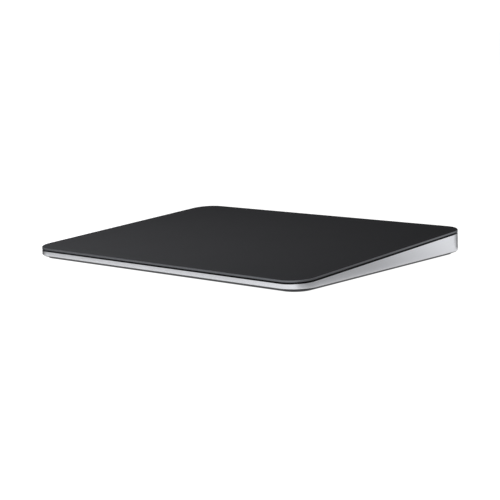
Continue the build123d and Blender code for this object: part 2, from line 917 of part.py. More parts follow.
def logic_screws():
    """The two screws of the logic board."""
    screw = small_screw(board_thickness + screw_bite)
    return group(Pos(x, y, board_top) * screw for x, y in board_screw_places())


def on_board(x_share, y_share):
    """Place on top of the logic board at shares of its length and width from its middle."""
    return Pos(board_x + x_share * board_length, board_y + y_share * board_width, board_top)


def logic_chips():
    """The chips on the logic board, the last of them under the shield."""
    placed = []
    for x_share, y_share, side in chip_shares:
        placed.append(on_board(x_share, y_share) * block(side, side, chip_height))
    return group(placed)


def radio_shield():
    """The pressed steel can over the radio chip."""
    inner_length = shield_length - 2 * shield_wall
    inner_width = shield_width - 2 * shield_wall
    can = plate(shield_length, shield_width, shield_height, board_corner_round)
    can -= block(inner_length, inner_width, shield_height - shield_wall)
    return on_board(shield_x_share, shield_y_share) * can


def board_sockets():
    """The cable connectors along the edges of the logic board."""
    placed = []
    for x, y, turn, breadth in board_lanes():
        seat = Pos(x, y, board_top) * Rot(0, 0, turn) * Pos(-socket_reach, 0, 0)
        placed.append(seat * cable_socket(breadth))
    return group(placed)


# Battery

def battery_cell(side):
    """One pouch cell with soft edges."""
    cell = block(cell_length, cell_breadth, cell_thickness)
    cell = fillet(cell.edges().filter_by(Axis.X), cell_edge_round)
    return Pos(side * cell_x, cell_y, cell_under) * cell


def battery_adhesive():
    """The adhesive strips under the two cells and the foam pads under the protection board."""
    strip_length = cell_length - 2 * battery_adhesive_inset
    strip = block(strip_length, cell_breadth - 2 * battery_adhesive_inset, battery_adhesive_thickness)
    pad = block(guard_pad_length, guard_width, guard_pad_height)
    placed = [Pos(side * cell_x, cell_y, floor_top) * strip for side in ENDS]
    placed += [Pos(guard_x + side * guard_pad_x, guard_y, floor_top) * pad for side in ENDS]
    return group(placed)


def battery_guard():
    """The protection board of the battery with its parts on top."""
    board = Pos(guard_x, 0, 0) * block(guard_length, guard_width, guard_thickness)
    part = block(guard_part_length_share * guard_room, guard_width / 2, guard_part_height)
    for x in [0] + [guard_left_x + share * guard_room for share in guard_part_shares]:
        board += Pos(x, 0, guard_thickness) * part
    return Pos(0, guard_y, floor_top + guard_pad_height) * board


def battery_tabs():
    """The metal tabs that lead from the front of the cells to the protection board."""
    start_z = cell_under + cell_thickness / 2
    end_z = guard_top + tab_thickness / 2
    points = [
        (battery_front_y, start_z),
        (battery_front_y - tab_drop, start_z),
        (battery_front_y - tab_drop, end_z),
        (battery_front_y - tab_reach, end_z),
    ]
    tab = Rot(0, 0, 90) * fold(points, tab_width, tab_thickness)
    places = [side * (tab_first_x + index * tab_pitch) for side in ENDS for index in (0, 1)]
    return group(Pos(x, 0, 0) * tab for x in places)


def battery_cable():
    """The flat cable from the protection board to the logic board."""
    start_x = board_right_x + ribbon_drop + ribbon_slant
    points = [(start_x, battery_lane_y), (battery_lane_x, battery_lane_y), (battery_lane_x, guard_y)]
    cable = ribbon(points, battery_ribbon)
    cable += Pos(board_right_x, battery_lane_y, 0) * plugged_step(battery_ribbon)
    cable += Pos(battery_lane_x, guard_y, 0) * block(battery_ribbon, ribbon_thickness, guard_pad_height)
    return Pos(0, 0, floor_top) * cable


# Charging port

def port_shell():
    """The drawn steel shell of the port, an oval tube."""
    inner_width = port_width - 2 * port_shell_wall
    inner_height = port_height - 2 * port_shell_wall
    outer = rear_slot(0, port_center_z, port_width, port_height, port_rear_y, port_length)
    bore_y = port_rear_y + cut_overrun
    bore_length = port_length + 2 * cut_overrun
    return outer - rear_slot(0, port_center_z, inner_width, inner_height, bore_y, bore_length)


def port_core():
    """The moulded back of the port with the tongue that stands in its middle."""
    back_width = port_width - 2 * (port_shell_wall + port_core_clearance)
    back_height = port_height - 2 * (port_shell_wall + port_core_clearance)
    back_rear_y = port_front_y + port_back_thickness
    back = rear_slot(0, port_center_z, back_width, back_height, back_rear_y, port_back_thickness)
    reach = tongue_length + port_back_thickness / 2
    tongue = block(tongue_width, reach, tongue_thickness)
    tongue = fillet(tongue.edges().filter_by(Axis.Z), tongue_thickness / 2)
    middle_y = back_rear_y + tongue_length - reach / 2
    return back + Pos(0, middle_y, port_center_z - tongue_thickness / 2) * tongue


def port_contacts():
    """The two rows of contact strips on the faces of the tongue."""
    strip = block(contact_width, contact_length, contact_thickness)
    middle_y = port_front_y + port_back_thickness + contact_length / 2
    lower_z = port_center_z - tongue_thickness / 2 - contact_thickness
    upper_z = port_center_z + tongue_thickness / 2
    placed = []
    for index in range(contact_count):
        x = (index - (contact_count - 1) / 2) * contact_pitch
        placed += [Pos(x, middle_y, z) * strip for z in (lower_z, upper_z)]
    return group(placed)


def port_board():
    """The small board that carries the port."""
    board_depth = port_board_rear_y - port_board_front_y
    board = plate(port_board_length, board_depth, port_board_thickness, board_corner_round)
    board = Pos(0, (port_board_front_y + port_board_rear_y) / 2, port_board_under) * board
    for x, y in port_screw_places():
        notch = screw_notch(math.copysign(1, x), 2 * port_board_thickness, port_board_length / 2)
        board -= Pos(x, y, port_board_top) * notch
    return board


def port_strap():
    """The steel strap that bridges the port and is screwed down on both sides."""
    inner_length = port_width + 2 * strap_clearance
    inner_height = port_height + strap_clearance
    arch_height = 2 * inner_height - port_height
    bridge = block(inner_length + 2 * strap_thickness, strap_width, inner_height + strap_thickness)
    bridge -= rear_slot(0, port_height / 2, inner_length, arch_height, strap_width, 2 * strap_width)
    bridge -= block(inner_length, strap_width, port_height / 2)
    wing_length = (port_screw_spacing - inner_length) / 2 + screw_head_radius
    wing = block(wing_length, strap_width, strap_thickness)
    for side in ENDS:
        bridge += Pos(side * (inner_length + wing_length) / 2, 0, 0) * wing
        notch = screw_notch(side, 2 * strap_thickness, wing_length)
        bridge -= Pos(side * port_screw_spacing / 2, 0, strap_thickness) * notch
    return Pos(0, port_screw_y, port_board_top) * bridge


def port_screws():
    """The two screws through the strap and the port board."""
    screw = small_screw(strap_thickness + port_board_thickness + screw_bite)
    return group(Pos(x, y, port_board_top + strap_thickness) * screw for x, y in port_screw_places())


def charge_cable():
    """The flat cable from the port board, through the channel between the cells, to the logic board."""
    start_x = board_right_x + ribbon_drop + ribbon_slant
    end_y = port_board_front_y - ribbon_drop - ribbon_slant
    points = [(start_x, charge_lane_y), (charge_lane_x, charge_lane_y), (charge_lane_x, end_y)]
    cable = ribbon(points, charge_ribbon)
    cable += Pos(board_right_x, charge_lane_y, 0) * plugged_step(charge_ribbon)
    rear_step = Rot(0, 0, -90) * soldered_step(port_board_under, charge_ribbon)
    cable += Pos(charge_lane_x, port_board_front_y, 0) * rear_step
    return Pos(0, 0, floor_top) * cable


# Power switch

def switch_knob():
    """The sliding knob: a ribbed face in the slot, a wide plate behind it and a fork for the switch."""
    face_y = depth / 2 - knob_set_back
    face_reach = face_y - knob_plate_y + knob_plate_gap
    knob = rear_slot(switch_x, port_center_z, knob_length, knob_height, face_y, face_reach)
    slab = block(knob_plate_length, knob_plate_thickness, knob_plate_height)
    slab_y = knob_plate_y - knob_plate_thickness / 2
    knob += Pos(switch_x, slab_y, port_center_z - knob_plate_height / 2) * slab
    groove = block(knob_grip_width, 2 * knob_grip_depth, knob_height)
    for index in range(knob_grip_count):
        x = switch_x + (index - (knob_grip_count - 1) / 2) * knob_grip_pitch
        knob -= Pos(x, face_y, port_center_z - knob_height / 2) * groove
    prong = block(fork_prong, fork_reach, actuator_height)
    offset = actuator_width / 2 + fork_clearance + fork_prong / 2
    prong_y = knob_plate_front_y - fork_reach / 2
    for side in ENDS:
        knob += Pos(switch_x + side * offset, prong_y, port_center_z - actuator_height / 2) * prong
    return knob


def switch_actuator():
    """The small peg of the slide switch, held between the prongs of the knob."""
    peg = block(actuator_width, actuator_length, actuator_height)
    y = knob_plate_front_y - fork_clearance - actuator_length / 2
    return Pos(switch_x, y, port_center_z - actuator_height / 2) * peg


def switch_unit():
    """The body of the slide switch, with the slot that its peg runs in."""
    body = block(switch_unit_length, switch_unit_width, switch_unit_height)
    body = Pos(slot_x, switch_unit_y, switch_board_top) * body
    run_length = actuator_width + switch_travel + 2 * fork_clearance
    run_height = actuator_height + 2 * fork_clearance
    run = block(run_length, actuator_length, run_height)
    run_y = knob_plate_front_y - 2 * fork_clearance - actuator_length / 2
    return body - Pos(slot_x, run_y, port_center_z - run_height / 2) * run


def switch_board():
    """The board under the slide switch."""
    board = block(switch_board_length, switch_board_width, switch_board_thickness)
    board = Pos(slot_x, switch_board_y, switch_board_under) * board
    for x, y in switch_screw_places():
        notch = screw_notch(math.copysign(1, x - slot_x), 2 * switch_board_thickness, switch_board_length / 2)
        board -= Pos(x, y, switch_board_top) * notch
    return board


def switch_retainer():
    """The steel clip that keeps the knob plate against the wall, with a window for the fork."""
    upright = block(retainer_length, retainer_thickness, retainer_height)
    window_length = 2 * (fork_prong + 2 * fork_clearance) + actuator_width + switch_travel
    window_height = actuator_height + 2 * fork_clearance
    window = block(window_length, 2 * wall, window_height)
    y = retainer_y - retainer_thickness / 2
    clip = Pos(slot_x, y, switch_board_top) * upright
    clip -= Pos(slot_x, y, port_center_z - window_height / 2) * window
    flange_front_y = switch_board_y - boss_side / 2
    flange = block(boss_side, retainer_y - flange_front_y, retainer_thickness)
    for x, screw_y in switch_screw_places():
        clip += Pos(x, (retainer_y + flange_front_y) / 2, switch_board_top) * flange
        notch = Rot(0, 0, -90) * screw_notch(1, 2 * retainer_thickness, boss_side)
        clip -= Pos(x, screw_y, switch_board_top + retainer_thickness) * notch
    return clip


def switch_screws():
    """The two screws of the switch board."""
    screw = small_screw(retainer_thickness + switch_board_thickness + screw_bite)
    return group(Pos(x, y, switch_board_top + retainer_thickness) * screw for x, y in switch_screw_places())


def switch_cable():
    """The flat cable along the rear wall from the switch board to the port board."""
    port_end_x = port_board_length / 2
    switch_end_x = slot_x - switch_board_length / 2
    step = ribbon_drop + ribbon_slant
    points = [(port_end_x + step, switch_board_y), (switch_end_x - step, switch_board_y)]
    cable = ribbon(points, narrow_ribbon)
    cable += Pos(port_end_x, switch_board_y, 0) * soldered_step(port_board_under, narrow_ribbon)
    switch_step = Rot(0, 0, 180) * soldered_step(switch_board_under, narrow_ribbon)
    cable += Pos(switch_end_x, switch_board_y, 0) * switch_step
    return Pos(0, 0, floor_top) * cable


# Antenna

def antenna_bar():
    """The plastic bar that carries the antenna film."""
    return Pos(antenna_x, antenna_y, floor_top) * block(antenna_length, antenna_width, antenna_height)


def antenna_element():
    """The copper film of the antenna: a folded track on top and a feed strip down one end."""
    length = antenna_length - 2 * antenna_film_margin
    breadth = antenna_width - 2 * antenna_film_margin
    film = block(length, breadth, antenna_film)
    split = block(length - 2 * antenna_film_margin, antenna_film_margin, antenna_film)
    film -= Pos(antenna_film_margin, 0, 0) * split
    film = Pos(antenna_x, antenna_y, floor_top + antenna_height) * film
    over_length = 2 * antenna_film_margin + antenna_film
    over = block(over_length, antenna_film_margin, antenna_film)
    over_x = antenna_right_x + antenna_film - over_length / 2
    over_y = antenna_y + breadth / 2 - antenna_film_margin / 2
    film += Pos(over_x, over_y, floor_top + antenna_height) * over
    strip = block(antenna_film, antenna_film_margin, antenna_height + antenna_film - lead_lift)
    return film + Pos(antenna_right_x + antenna_film / 2, over_y, floor_top + lead_lift) * strip


def antenna_lead():
    """The thin round lead from the antenna, by the rear wall and the channel, to under the logic board."""
    start_x = antenna_right_x + antenna_film
    points = [
        (start_x, lead_rear_y, lead_z),
        (lead_lane_x, lead_rear_y, lead_z),
        (lead_lane_x, lead_lane_y, lead_z),
        (board_right_x - lead_board_reach, lead_lane_y, lead_z),
    ]
    path = FilletPolyline(*points, radius=lead_bend)
    start = Plane(origin=path @ 0, z_dir=path % 0)
    return sweep(start * RegularPolygon(lead_radius, lead_sides), path=path)


# Sensor cables

def gauge_cable(side):
    """The cable of one side's two gauges, along the side wall and up the inner face of each post."""
    front_y, front_z = on_touch(flexure_front_v, flexure_under_drop + gauge_thickness)
    rear_y, rear_z = on_touch(flexure_rear_v, flexure_under_drop + gauge_thickness)
    turn = post_breadth / 2 + narrow_ribbon
    points = [
        (side * gauge_tail_x, front_y),
        (side * gauge_tail_x, front_y + turn),
        (side * trunk_x, front_y + turn),
        (side * trunk_x, rear_y - turn),
        (side * gauge_tail_x, rear_y - turn),
        (side * gauge_tail_x, rear_y),
    ]
    cable = ribbon(points, narrow_ribbon)
    for y, z in ((front_y, front_z), (rear_y, rear_z)):
        riser = block(ribbon_thickness, narrow_ribbon, z - floor_top - ribbon_thickness)
        cable += Pos(side * (post_inner_x - ribbon_thickness), y, 0) * riser
    step = ribbon_drop + ribbon_slant
    if side > 0:
        branch = [
            (trunk_x, gauge_lane_front_y),
            (gauge_lane_right_x, gauge_lane_front_y),
            (gauge_lane_right_x, board_front_y - step),
        ]
        end = Pos(gauge_lane_right_x, board_front_y, 0) * Rot(0, 0, -90)
    else:
        branch = [(-trunk_x, gauge_lane_left_y), (board_left_x - step, gauge_lane_left_y)]
        end = Pos(board_left_x, gauge_lane_left_y, 0) * Rot(0, 0, 180)
    cable += ribbon(branch, narrow_ribbon)
    cable += end * plugged_step(narrow_ribbon)
    return Pos(0, 0, floor_top) * cable


def touch_cable():
    """The wide flat cable that folds from the logic board, along the floor, up to the sensor board."""
    half = ribbon_thickness / 2
    low = floor_top + half
    level = board_top + connector_height + half
    drop = sensor_drop + connector_height + half
    back_v = touch_window_v - connector_breadth / 2 - ribbon_drop
    sensor_point = on_touch(touch_window_v, drop)
    turn_point = on_touch(back_v, drop)
    points = [
        (board_front_y + socket_reach, level),
        (board_front_y - ribbon_drop, level),
        (board_front_y - ribbon_drop, low),
        (turn_point[0], low),
        turn_point,
        sensor_point,
    ]
    cable = Rot(0, 0, 90) * fold(points, touch_ribbon, ribbon_thickness)
    cable = Pos(touch_socket_x, 0, 0) * cable
    plug = cable_plug(touch_ribbon)
    cable += Pos(touch_socket_x, board_front_y + socket_reach, board_top) * Rot(0, 0, 90) * plug
    cable += tilted(Rot(180, 0, -90) * plug, touch_socket_x, touch_window_v, -sensor_drop)
    return cable


def build():
    """Every sub-part by its name."""
    parts = {
        "case_shell": case_shell(),
        "touch_glass": touch_glass(),
        "rim_seal": rim_seal(),
        "glass_adhesive": inset_plate(sensor_inset, adhesive_thickness, adhesive_drop),
        "sensor_board": inset_plate(sensor_inset, sensor_thickness, sensor_drop),
        "stiffener_plate": stiffener_plate(),
        "touch_controllers": touch_controllers(),
        "touch_socket": touch_socket(),
        "touch_cable": touch_cable(),
        "flexure_pads": flexure_pads(),
        "strain_gauges": strain_gauges(),
        "flexure_screws": flexure_screws(),
        "haptic_frame": haptic_frame(),
        "haptic_coil": haptic_coil(),
        "haptic_mass": haptic_mass(),
        "haptic_magnets": haptic_magnets(),
        "haptic_cover": haptic_cover(),
        "haptic_screws": haptic_screws(),
        "logic_board": logic_board(),
        "logic_chips": logic_chips(),
        "logic_screws": logic_screws(),
        "radio_shield": radio_shield(),
        "board_sockets": board_sockets(),
        "battery_adhesive": battery_adhesive(),
        "battery_guard": battery_guard(),
        "battery_tabs": battery_tabs(),
        "battery_cable": battery_cable(),
        "port_shell": port_shell(),
        "port_core": port_core(),
        "port_contacts": port_contacts(),
        "port_board": port_board(),
        "port_strap": port_strap(),
        "port_screws": port_screws(),
        "charge_cable": charge_cable(),
        "switch_knob": switch_knob(),
        "switch_actuator": switch_actuator(),
        "switch_unit": switch_unit(),
        "switch_board": switch_board(),
        "switch_retainer": switch_retainer(),
        "switch_screws": switch_screws(),
        "switch_cable": switch_cable(),
        "antenna_bar": antenna_bar(),
        "antenna_element": antenna_element(),
        "antenna_lead": antenna_lead(),
    }
    for side_name, side in SIDES:
        parts[f"battery_cell_{side_name}"] = battery_cell(side)
        parts[f"haptic_leaf_{side_name}"] = haptic_leaf(side)
        parts[f"gauge_cable_{side_name}"] = gauge_cable(side)
    for place, side, v in flexure_places():
        parts[f"flexure_{place}"] = tilted(flexure(side), side * root_x, v, -flexure_under_drop)
    for name, x, y in foot_places():
        parts[name] = Pos(x, y, 0) * foot()
    return parts


os.makedirs("parts", exist_ok=True)
for name, shape in build().items():
    export_step(shape, f"parts/{name}.step")
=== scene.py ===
import logging
import math
from dataclasses import dataclass
from enum import Enum, IntEnum
from functools import cache, cached_property
from typing import Any, ClassVar, Iterable, Mapping, Optional, Sequence, Union

import bpy
import numpy as np
from mathutils import Matrix, Vector


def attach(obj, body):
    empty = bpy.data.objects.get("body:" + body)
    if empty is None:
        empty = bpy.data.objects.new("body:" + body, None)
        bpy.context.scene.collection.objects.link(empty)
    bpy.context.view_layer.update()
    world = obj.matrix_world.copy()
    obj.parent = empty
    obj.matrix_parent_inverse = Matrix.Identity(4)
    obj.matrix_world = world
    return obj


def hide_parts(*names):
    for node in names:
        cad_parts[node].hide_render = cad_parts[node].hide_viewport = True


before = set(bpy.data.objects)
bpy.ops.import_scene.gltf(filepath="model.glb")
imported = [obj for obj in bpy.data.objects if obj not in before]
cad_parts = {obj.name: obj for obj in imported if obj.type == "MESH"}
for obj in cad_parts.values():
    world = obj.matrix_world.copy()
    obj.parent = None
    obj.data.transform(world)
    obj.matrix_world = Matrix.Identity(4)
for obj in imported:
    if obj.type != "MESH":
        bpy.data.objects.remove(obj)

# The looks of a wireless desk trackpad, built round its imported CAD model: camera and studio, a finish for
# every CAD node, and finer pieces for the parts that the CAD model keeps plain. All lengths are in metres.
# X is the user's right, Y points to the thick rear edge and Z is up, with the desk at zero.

LOG = logging.getLogger("trackpad")
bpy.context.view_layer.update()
MM = 0.001
TURN = 2 * math.pi
RIGHT_ANGLE = math.pi / 2
Array = np.ndarray
Color = tuple[float, float, float]
Point = tuple[float, float, float]

# Where a mask starts to rise and where it is full, and for a band also where it starts to fade and ends
Rise = tuple[float, float]
Band = tuple[float, float, float, float]

# Place and grey level of one stop of a ramp
Stop = tuple[float, float]

# Sizes of the CAD model that the looks follow
WIDTH = 160 * MM
DEPTH = 114.9 * MM
FRONT_HEIGHT = 4.9 * MM
REAR_HEIGHT = 10.9 * MM
CORNER_RADIUS = 10 * MM
FOOT_STAND = 1.1 * MM
FLOOR_TOP = 1.9 * MM
BOARD_TOP = 3.3 * MM
TILT = math.atan2(REAR_HEIGHT - FRONT_HEIGHT, DEPTH)
MIDDLE_HEIGHT = (FRONT_HEIGHT + REAR_HEIGHT) / 2


class Axis(IntEnum):
    """An axis of the shared frame."""

    X = 0
    Y = 1
    Z = 2


class Side(Enum):
    """A side of the object, as its sign along X."""

    LEFT = -1
    RIGHT = 1


class Facing(Enum):
    """Which way a piece points along its own Z."""

    UP = 1
    DOWN = -1


# Shader graph

BLACK = (0.0, 0.0, 0.0)
WHITE = (1.0, 1.0, 1.0)
EVEN = (1, 1, 1)

# Width over which the edge of a mask fades
BLUR = 0.05 * MM


class Value:
    """One output socket of a node. Arithmetic on it adds Math nodes to the same graph."""

    def __init__(self, graph: "Graph", socket: bpy.types.NodeSocket) -> None:
        """Keeps the graph and the socket."""
        self.graph = graph
        self.socket = socket

    def __add__(self, other: "Operand") -> "Value":
        """This plus the other."""
        return self.graph.math("ADD", self, other)

    def __sub__(self, other: "Operand") -> "Value":
        """This less the other."""
        return self.graph.math("SUBTRACT", self, other)

    def __rsub__(self, other: "Operand") -> "Value":
        """The other less this."""
        return self.graph.math("SUBTRACT", other, self)

    def __mul__(self, other: "Operand") -> "Value":
        """This times the other."""
        return self.graph.math("MULTIPLY", self, other)

    def __pow__(self, other: "Operand") -> "Value":
        """This to the power of the other."""
        return self.graph.math("POWER", self, other)

    def __truediv__(self, other: "Operand") -> "Value":
        """This divided by the other."""
        return self.graph.math("DIVIDE", self, other)

    def __abs__(self) -> "Value":
        """The size of this without its sign."""
        return self.graph.math("ABSOLUTE", self)

    __radd__ = __add__
    __rmul__ = __mul__

    def least(self, other: "Operand") -> "Value":
        """The smaller of this and the other."""
        return self.graph.math("MINIMUM", self, other)

    def most(self, other: "Operand") -> "Value":
        """The larger of this and the other."""
        return self.graph.math("MAXIMUM", self, other)

    def step(self, low: float, high: float) -> "Value":
        """A smooth mask, 0 where this is below low and 1 where it is above high.

        Args:
            low: where the mask starts to rise.
            high: where the mask is full.

        Returns:
            The mask.
        """
        settings = {"interpolation_type": "SMOOTHSTEP"}
        inputs = {"Value": self, "From Min": low, "From Max": high, "To Min": 0.0, "To Max": 1.0}
        return self.graph.add("ShaderNodeMapRange", settings, inputs)

    def fall(self, low: float, high: float) -> "Value":
        """The opposite mask, 1 where this is below low and 0 where it is above high."""
        return 1 - self.step(low, high)

    def band(self, start: float, full: float, fade: float, end: float) -> "Value":
        """A smooth mask, 1 where this is between full and fade and 0 outside start and end."""
        return self.step(start, full) * self.fall(fade, end)


Operand = Union[Value, float]

# Numbers of the Mix node's colour inputs and of its colour output
MIX_LOW, MIX_HIGH, MIX_RESULT = 6, 7, 2


class Graph:
    """The node graph of one material, or of the world."""

    def __init__(self, owner: Any) -> None:
        """Turns on the owner's nodes and clears them.

        Args:
            owner: a material or a world.
        """
        owner.use_nodes = True
        self.tree = owner.node_tree
        self.tree.nodes.clear()

    def add(
        self,
        kind: str,
        settings: Optional[Mapping[str, Any]] = None,
        inputs: Optional[Mapping[Any, Any]] = None,
        output: Union[int, str] = 0,
    ) -> Value:
        """Adds any node.

        Args:
            kind: the node's type.
            settings: its own settings, set first. "stops" gives a ramp's places and grey levels.
            inputs: values or links of its sockets, by name or number.
            output: which output to give back.

        Returns:
            The wanted output.
        """
        node = self.tree.nodes.new(kind)
        for key, setting in (settings or {}).items():
            if key == "stops":
                self.set_stops(node.color_ramp, setting)
            else:
                setattr(node, key, setting)
        for key, value in (inputs or {}).items():
            if isinstance(value, Value):
                self.tree.links.new(value.socket, node.inputs[key])
            else:
                node.inputs[key].default_value = value
        return Value(self, node.outputs[output] if node.outputs else None)

    @staticmethod
    def set_stops(ramp: bpy.types.ColorRamp, stops: Sequence[Stop]) -> None:
        """Gives a ramp its stops.

        Args:
            ramp: the ramp.
            stops: place and grey level of each stop.
        """
        while len(ramp.elements) < len(stops):
            ramp.elements.new(1.0)
        for element, (place, level) in zip(ramp.elements, stops):
            element.position = place
            element.color = (level, level, level, 1.0)

    def math(self, operation: str, *operands: Operand) -> Value:
        """The result of one Math node."""
        return self.add("ShaderNodeMath", {"operation": operation}, dict(enumerate(operands)))

    def parts(self, whole: Value, kind: str = "ShaderNodeSeparateXYZ") -> list[Value]:
        """The three parts of a vector or, with that node's type, of a colour."""
        node = self.add(kind, inputs={0: whole}).socket.node
        return [Value(self, output) for output in node.outputs]

    @cached_property
    def place(self) -> Value:
        """Object coordinates, in metres in the shared frame."""
        return self.add("ShaderNodeTexCoord", output="Object")

    @cached_property
    def axes(self) -> list[Value]:
        """The three parts of the object coordinates."""
        return self.parts(self.place)

    @cached_property
    def outline(self) -> Value:
        """Distance outside the object's outline, below zero inside it."""
        return self.edge_distance(WIDTH, DEPTH, CORNER_RADIUS)

    def mapped(self, scale: Sequence[float]) -> Value:
        """Object coordinates times a factor along each axis."""
        return self.add("ShaderNodeMapping", inputs={"Vector": self.place, "Scale": tuple(scale)})

    def noise(self, size: float, stretch: Sequence[float] = EVEN, detail: float = 3.0) -> Value:
        """Cloudy noise from 0 to 1.

        Args:
            size: width of a cloud in metres.
            stretch: how much longer a cloud is along each axis.
            detail: how many finer layers there are.

        Returns:
            The noise.
        """
        where = self.mapped([1 / part for part in stretch])
        return self.add("ShaderNodeTexNoise", inputs={"Vector": where, "Scale": 1 / size, "Detail": detail})

    def cells(
        self, size: float, feature: str = "F1", metric: str = "EUCLIDEAN", output: str = "Distance",
    ) -> Value:
        """A level cell pattern.

        Args:
            size: width of a cell in metres.
            feature: which distance of the cells.
            metric: how the distance is measured.
            output: the distance as a share of a cell, or a random colour for each cell.

        Returns:
            The pattern.
        """
        settings = {"voronoi_dimensions": "2D", "feature": feature, "distance": metric}
        return self.add("ShaderNodeTexVoronoi", settings, {"Vector": self.place, "Scale": 1 / size}, output)

    def mix(self, factor: Operand, low: Any, high: Any) -> Value:
        """A colour between two colours.

        Args:
            factor: 0 for low and 1 for high.
            low: a colour, or a value that holds one.
            high: a colour, or a value that holds one.

        Returns:
            The mixed colour.
        """
        ends = [end if isinstance(end, Value) else (*end, 1.0) for end in (low, high)]
        inputs = {0: factor, MIX_LOW: ends[0], MIX_HIGH: ends[1]}
        return self.add("ShaderNodeMix", {"data_type": "RGBA"}, inputs, MIX_RESULT)

    def bump(self, height: Value, depth: float) -> Value:
        """A normal disturbed by a height, of which 1 stands for the depth in metres."""
        return self.add("ShaderNodeBump", inputs={"Height": height, "Distance": depth, "Strength": 1.0})

    def edge_distance(self, length: float, breadth: float, radius: float) -> Value:
        """Distance outside a rounded rectangle about the origin, below zero inside it.

        With q the place's size less the straight half sides, and radius the corner's, it is the
        length of what q has above zero, plus what its larger part has below zero, less the radius.

        Args:
            length: size along X.
            breadth: size along Y.
            radius: corner radius.

        Returns:
            The distance in metres.
        """
        across = abs(self.axes[Axis.X]) - (length / 2 - radius)
        along = abs(self.axes[Axis.Y]) - (breadth / 2 - radius)
        outside = (across.most(0.0) ** 2 + along.most(0.0) ** 2) ** 0.5
        return outside + across.most(along).least(0.0) - radius


class Coat(Graph):
    """The graph of a finish's material, with the finish's clouds and grain from 0 to 1."""

    def __init__(self, owner: bpy.types.Material, finish: "Finish") -> None:
        """Starts the graph with the two patterns.

        Args:
            owner: the material.
            finish: what it looks like.
        """
        super().__init__(owner)
        self.cloud = self.noise(finish.cloud_size)
        self.grain = self.noise(finish.grain_size, finish.grain_stretch)


# Finishes


@dataclass(frozen=True)
class Finish:
    """A plain finish: one colour with clouds and grain. Other finishes change parts of it."""

    name: str
    color: Color
    metallic: float = 0.0
    roughness: float = 0.5
    specular: float = 0.5
    clouding: float = 0.12
    cloud_size: float = 12 * MM
    cloud_share: float = 0.6
    grain_size: float = 0.25 * MM
    grain_stretch: Sequence[float] = EVEN
    grain_depth: float = 0.004 * MM
    unevenness: float = 0.12

    def base(self, coat: Coat) -> Value:
        """Colour over the surface, from a darker to a lighter shade with the clouds and grain.

        Args:
            coat: the material's graph.

        Returns:
            The colour.
        """
        dark, light = (
            tuple(min(1.0, part * share) for part in self.color)
            for share in (1 - self.clouding, 1 + self.clouding)
        )
        return coat.mix(coat.cloud * self.cloud_share + coat.grain * (1 - self.cloud_share), dark, light)

    def rough(self, coat: Coat) -> Value:
        """Roughness over the surface."""
        return (coat.cloud + coat.grain - 1.0) * self.unevenness + self.roughness

    def metal(self, coat: Coat) -> Operand:
        """Metallic share, the same all over unless a finish says otherwise."""
        return self.metallic

    def height(self, coat: Coat) -> Value:
        """Height of the surface grain, from 0 to 1."""
        return coat.grain

    @cache
    def material(self) -> bpy.types.Material:
        """Builds the material, once for each finish.

        Returns:
            The material.
        """
        made = bpy.data.materials.new(self.name)
        coat = Coat(made, self)
        shader = coat.add("ShaderNodeBsdfPrincipled", inputs={
            "Base Color": self.base(coat),
            "Roughness": self.rough(coat),
            "Metallic": self.metal(coat),
            "Specular IOR Level": self.specular,
            "Normal": coat.bump(self.height(coat), self.grain_depth),
        })
        coat.add("ShaderNodeOutputMaterial", inputs={"Surface": shader})
        made.diffuse_color = (*self.color, 1.0)
        return made


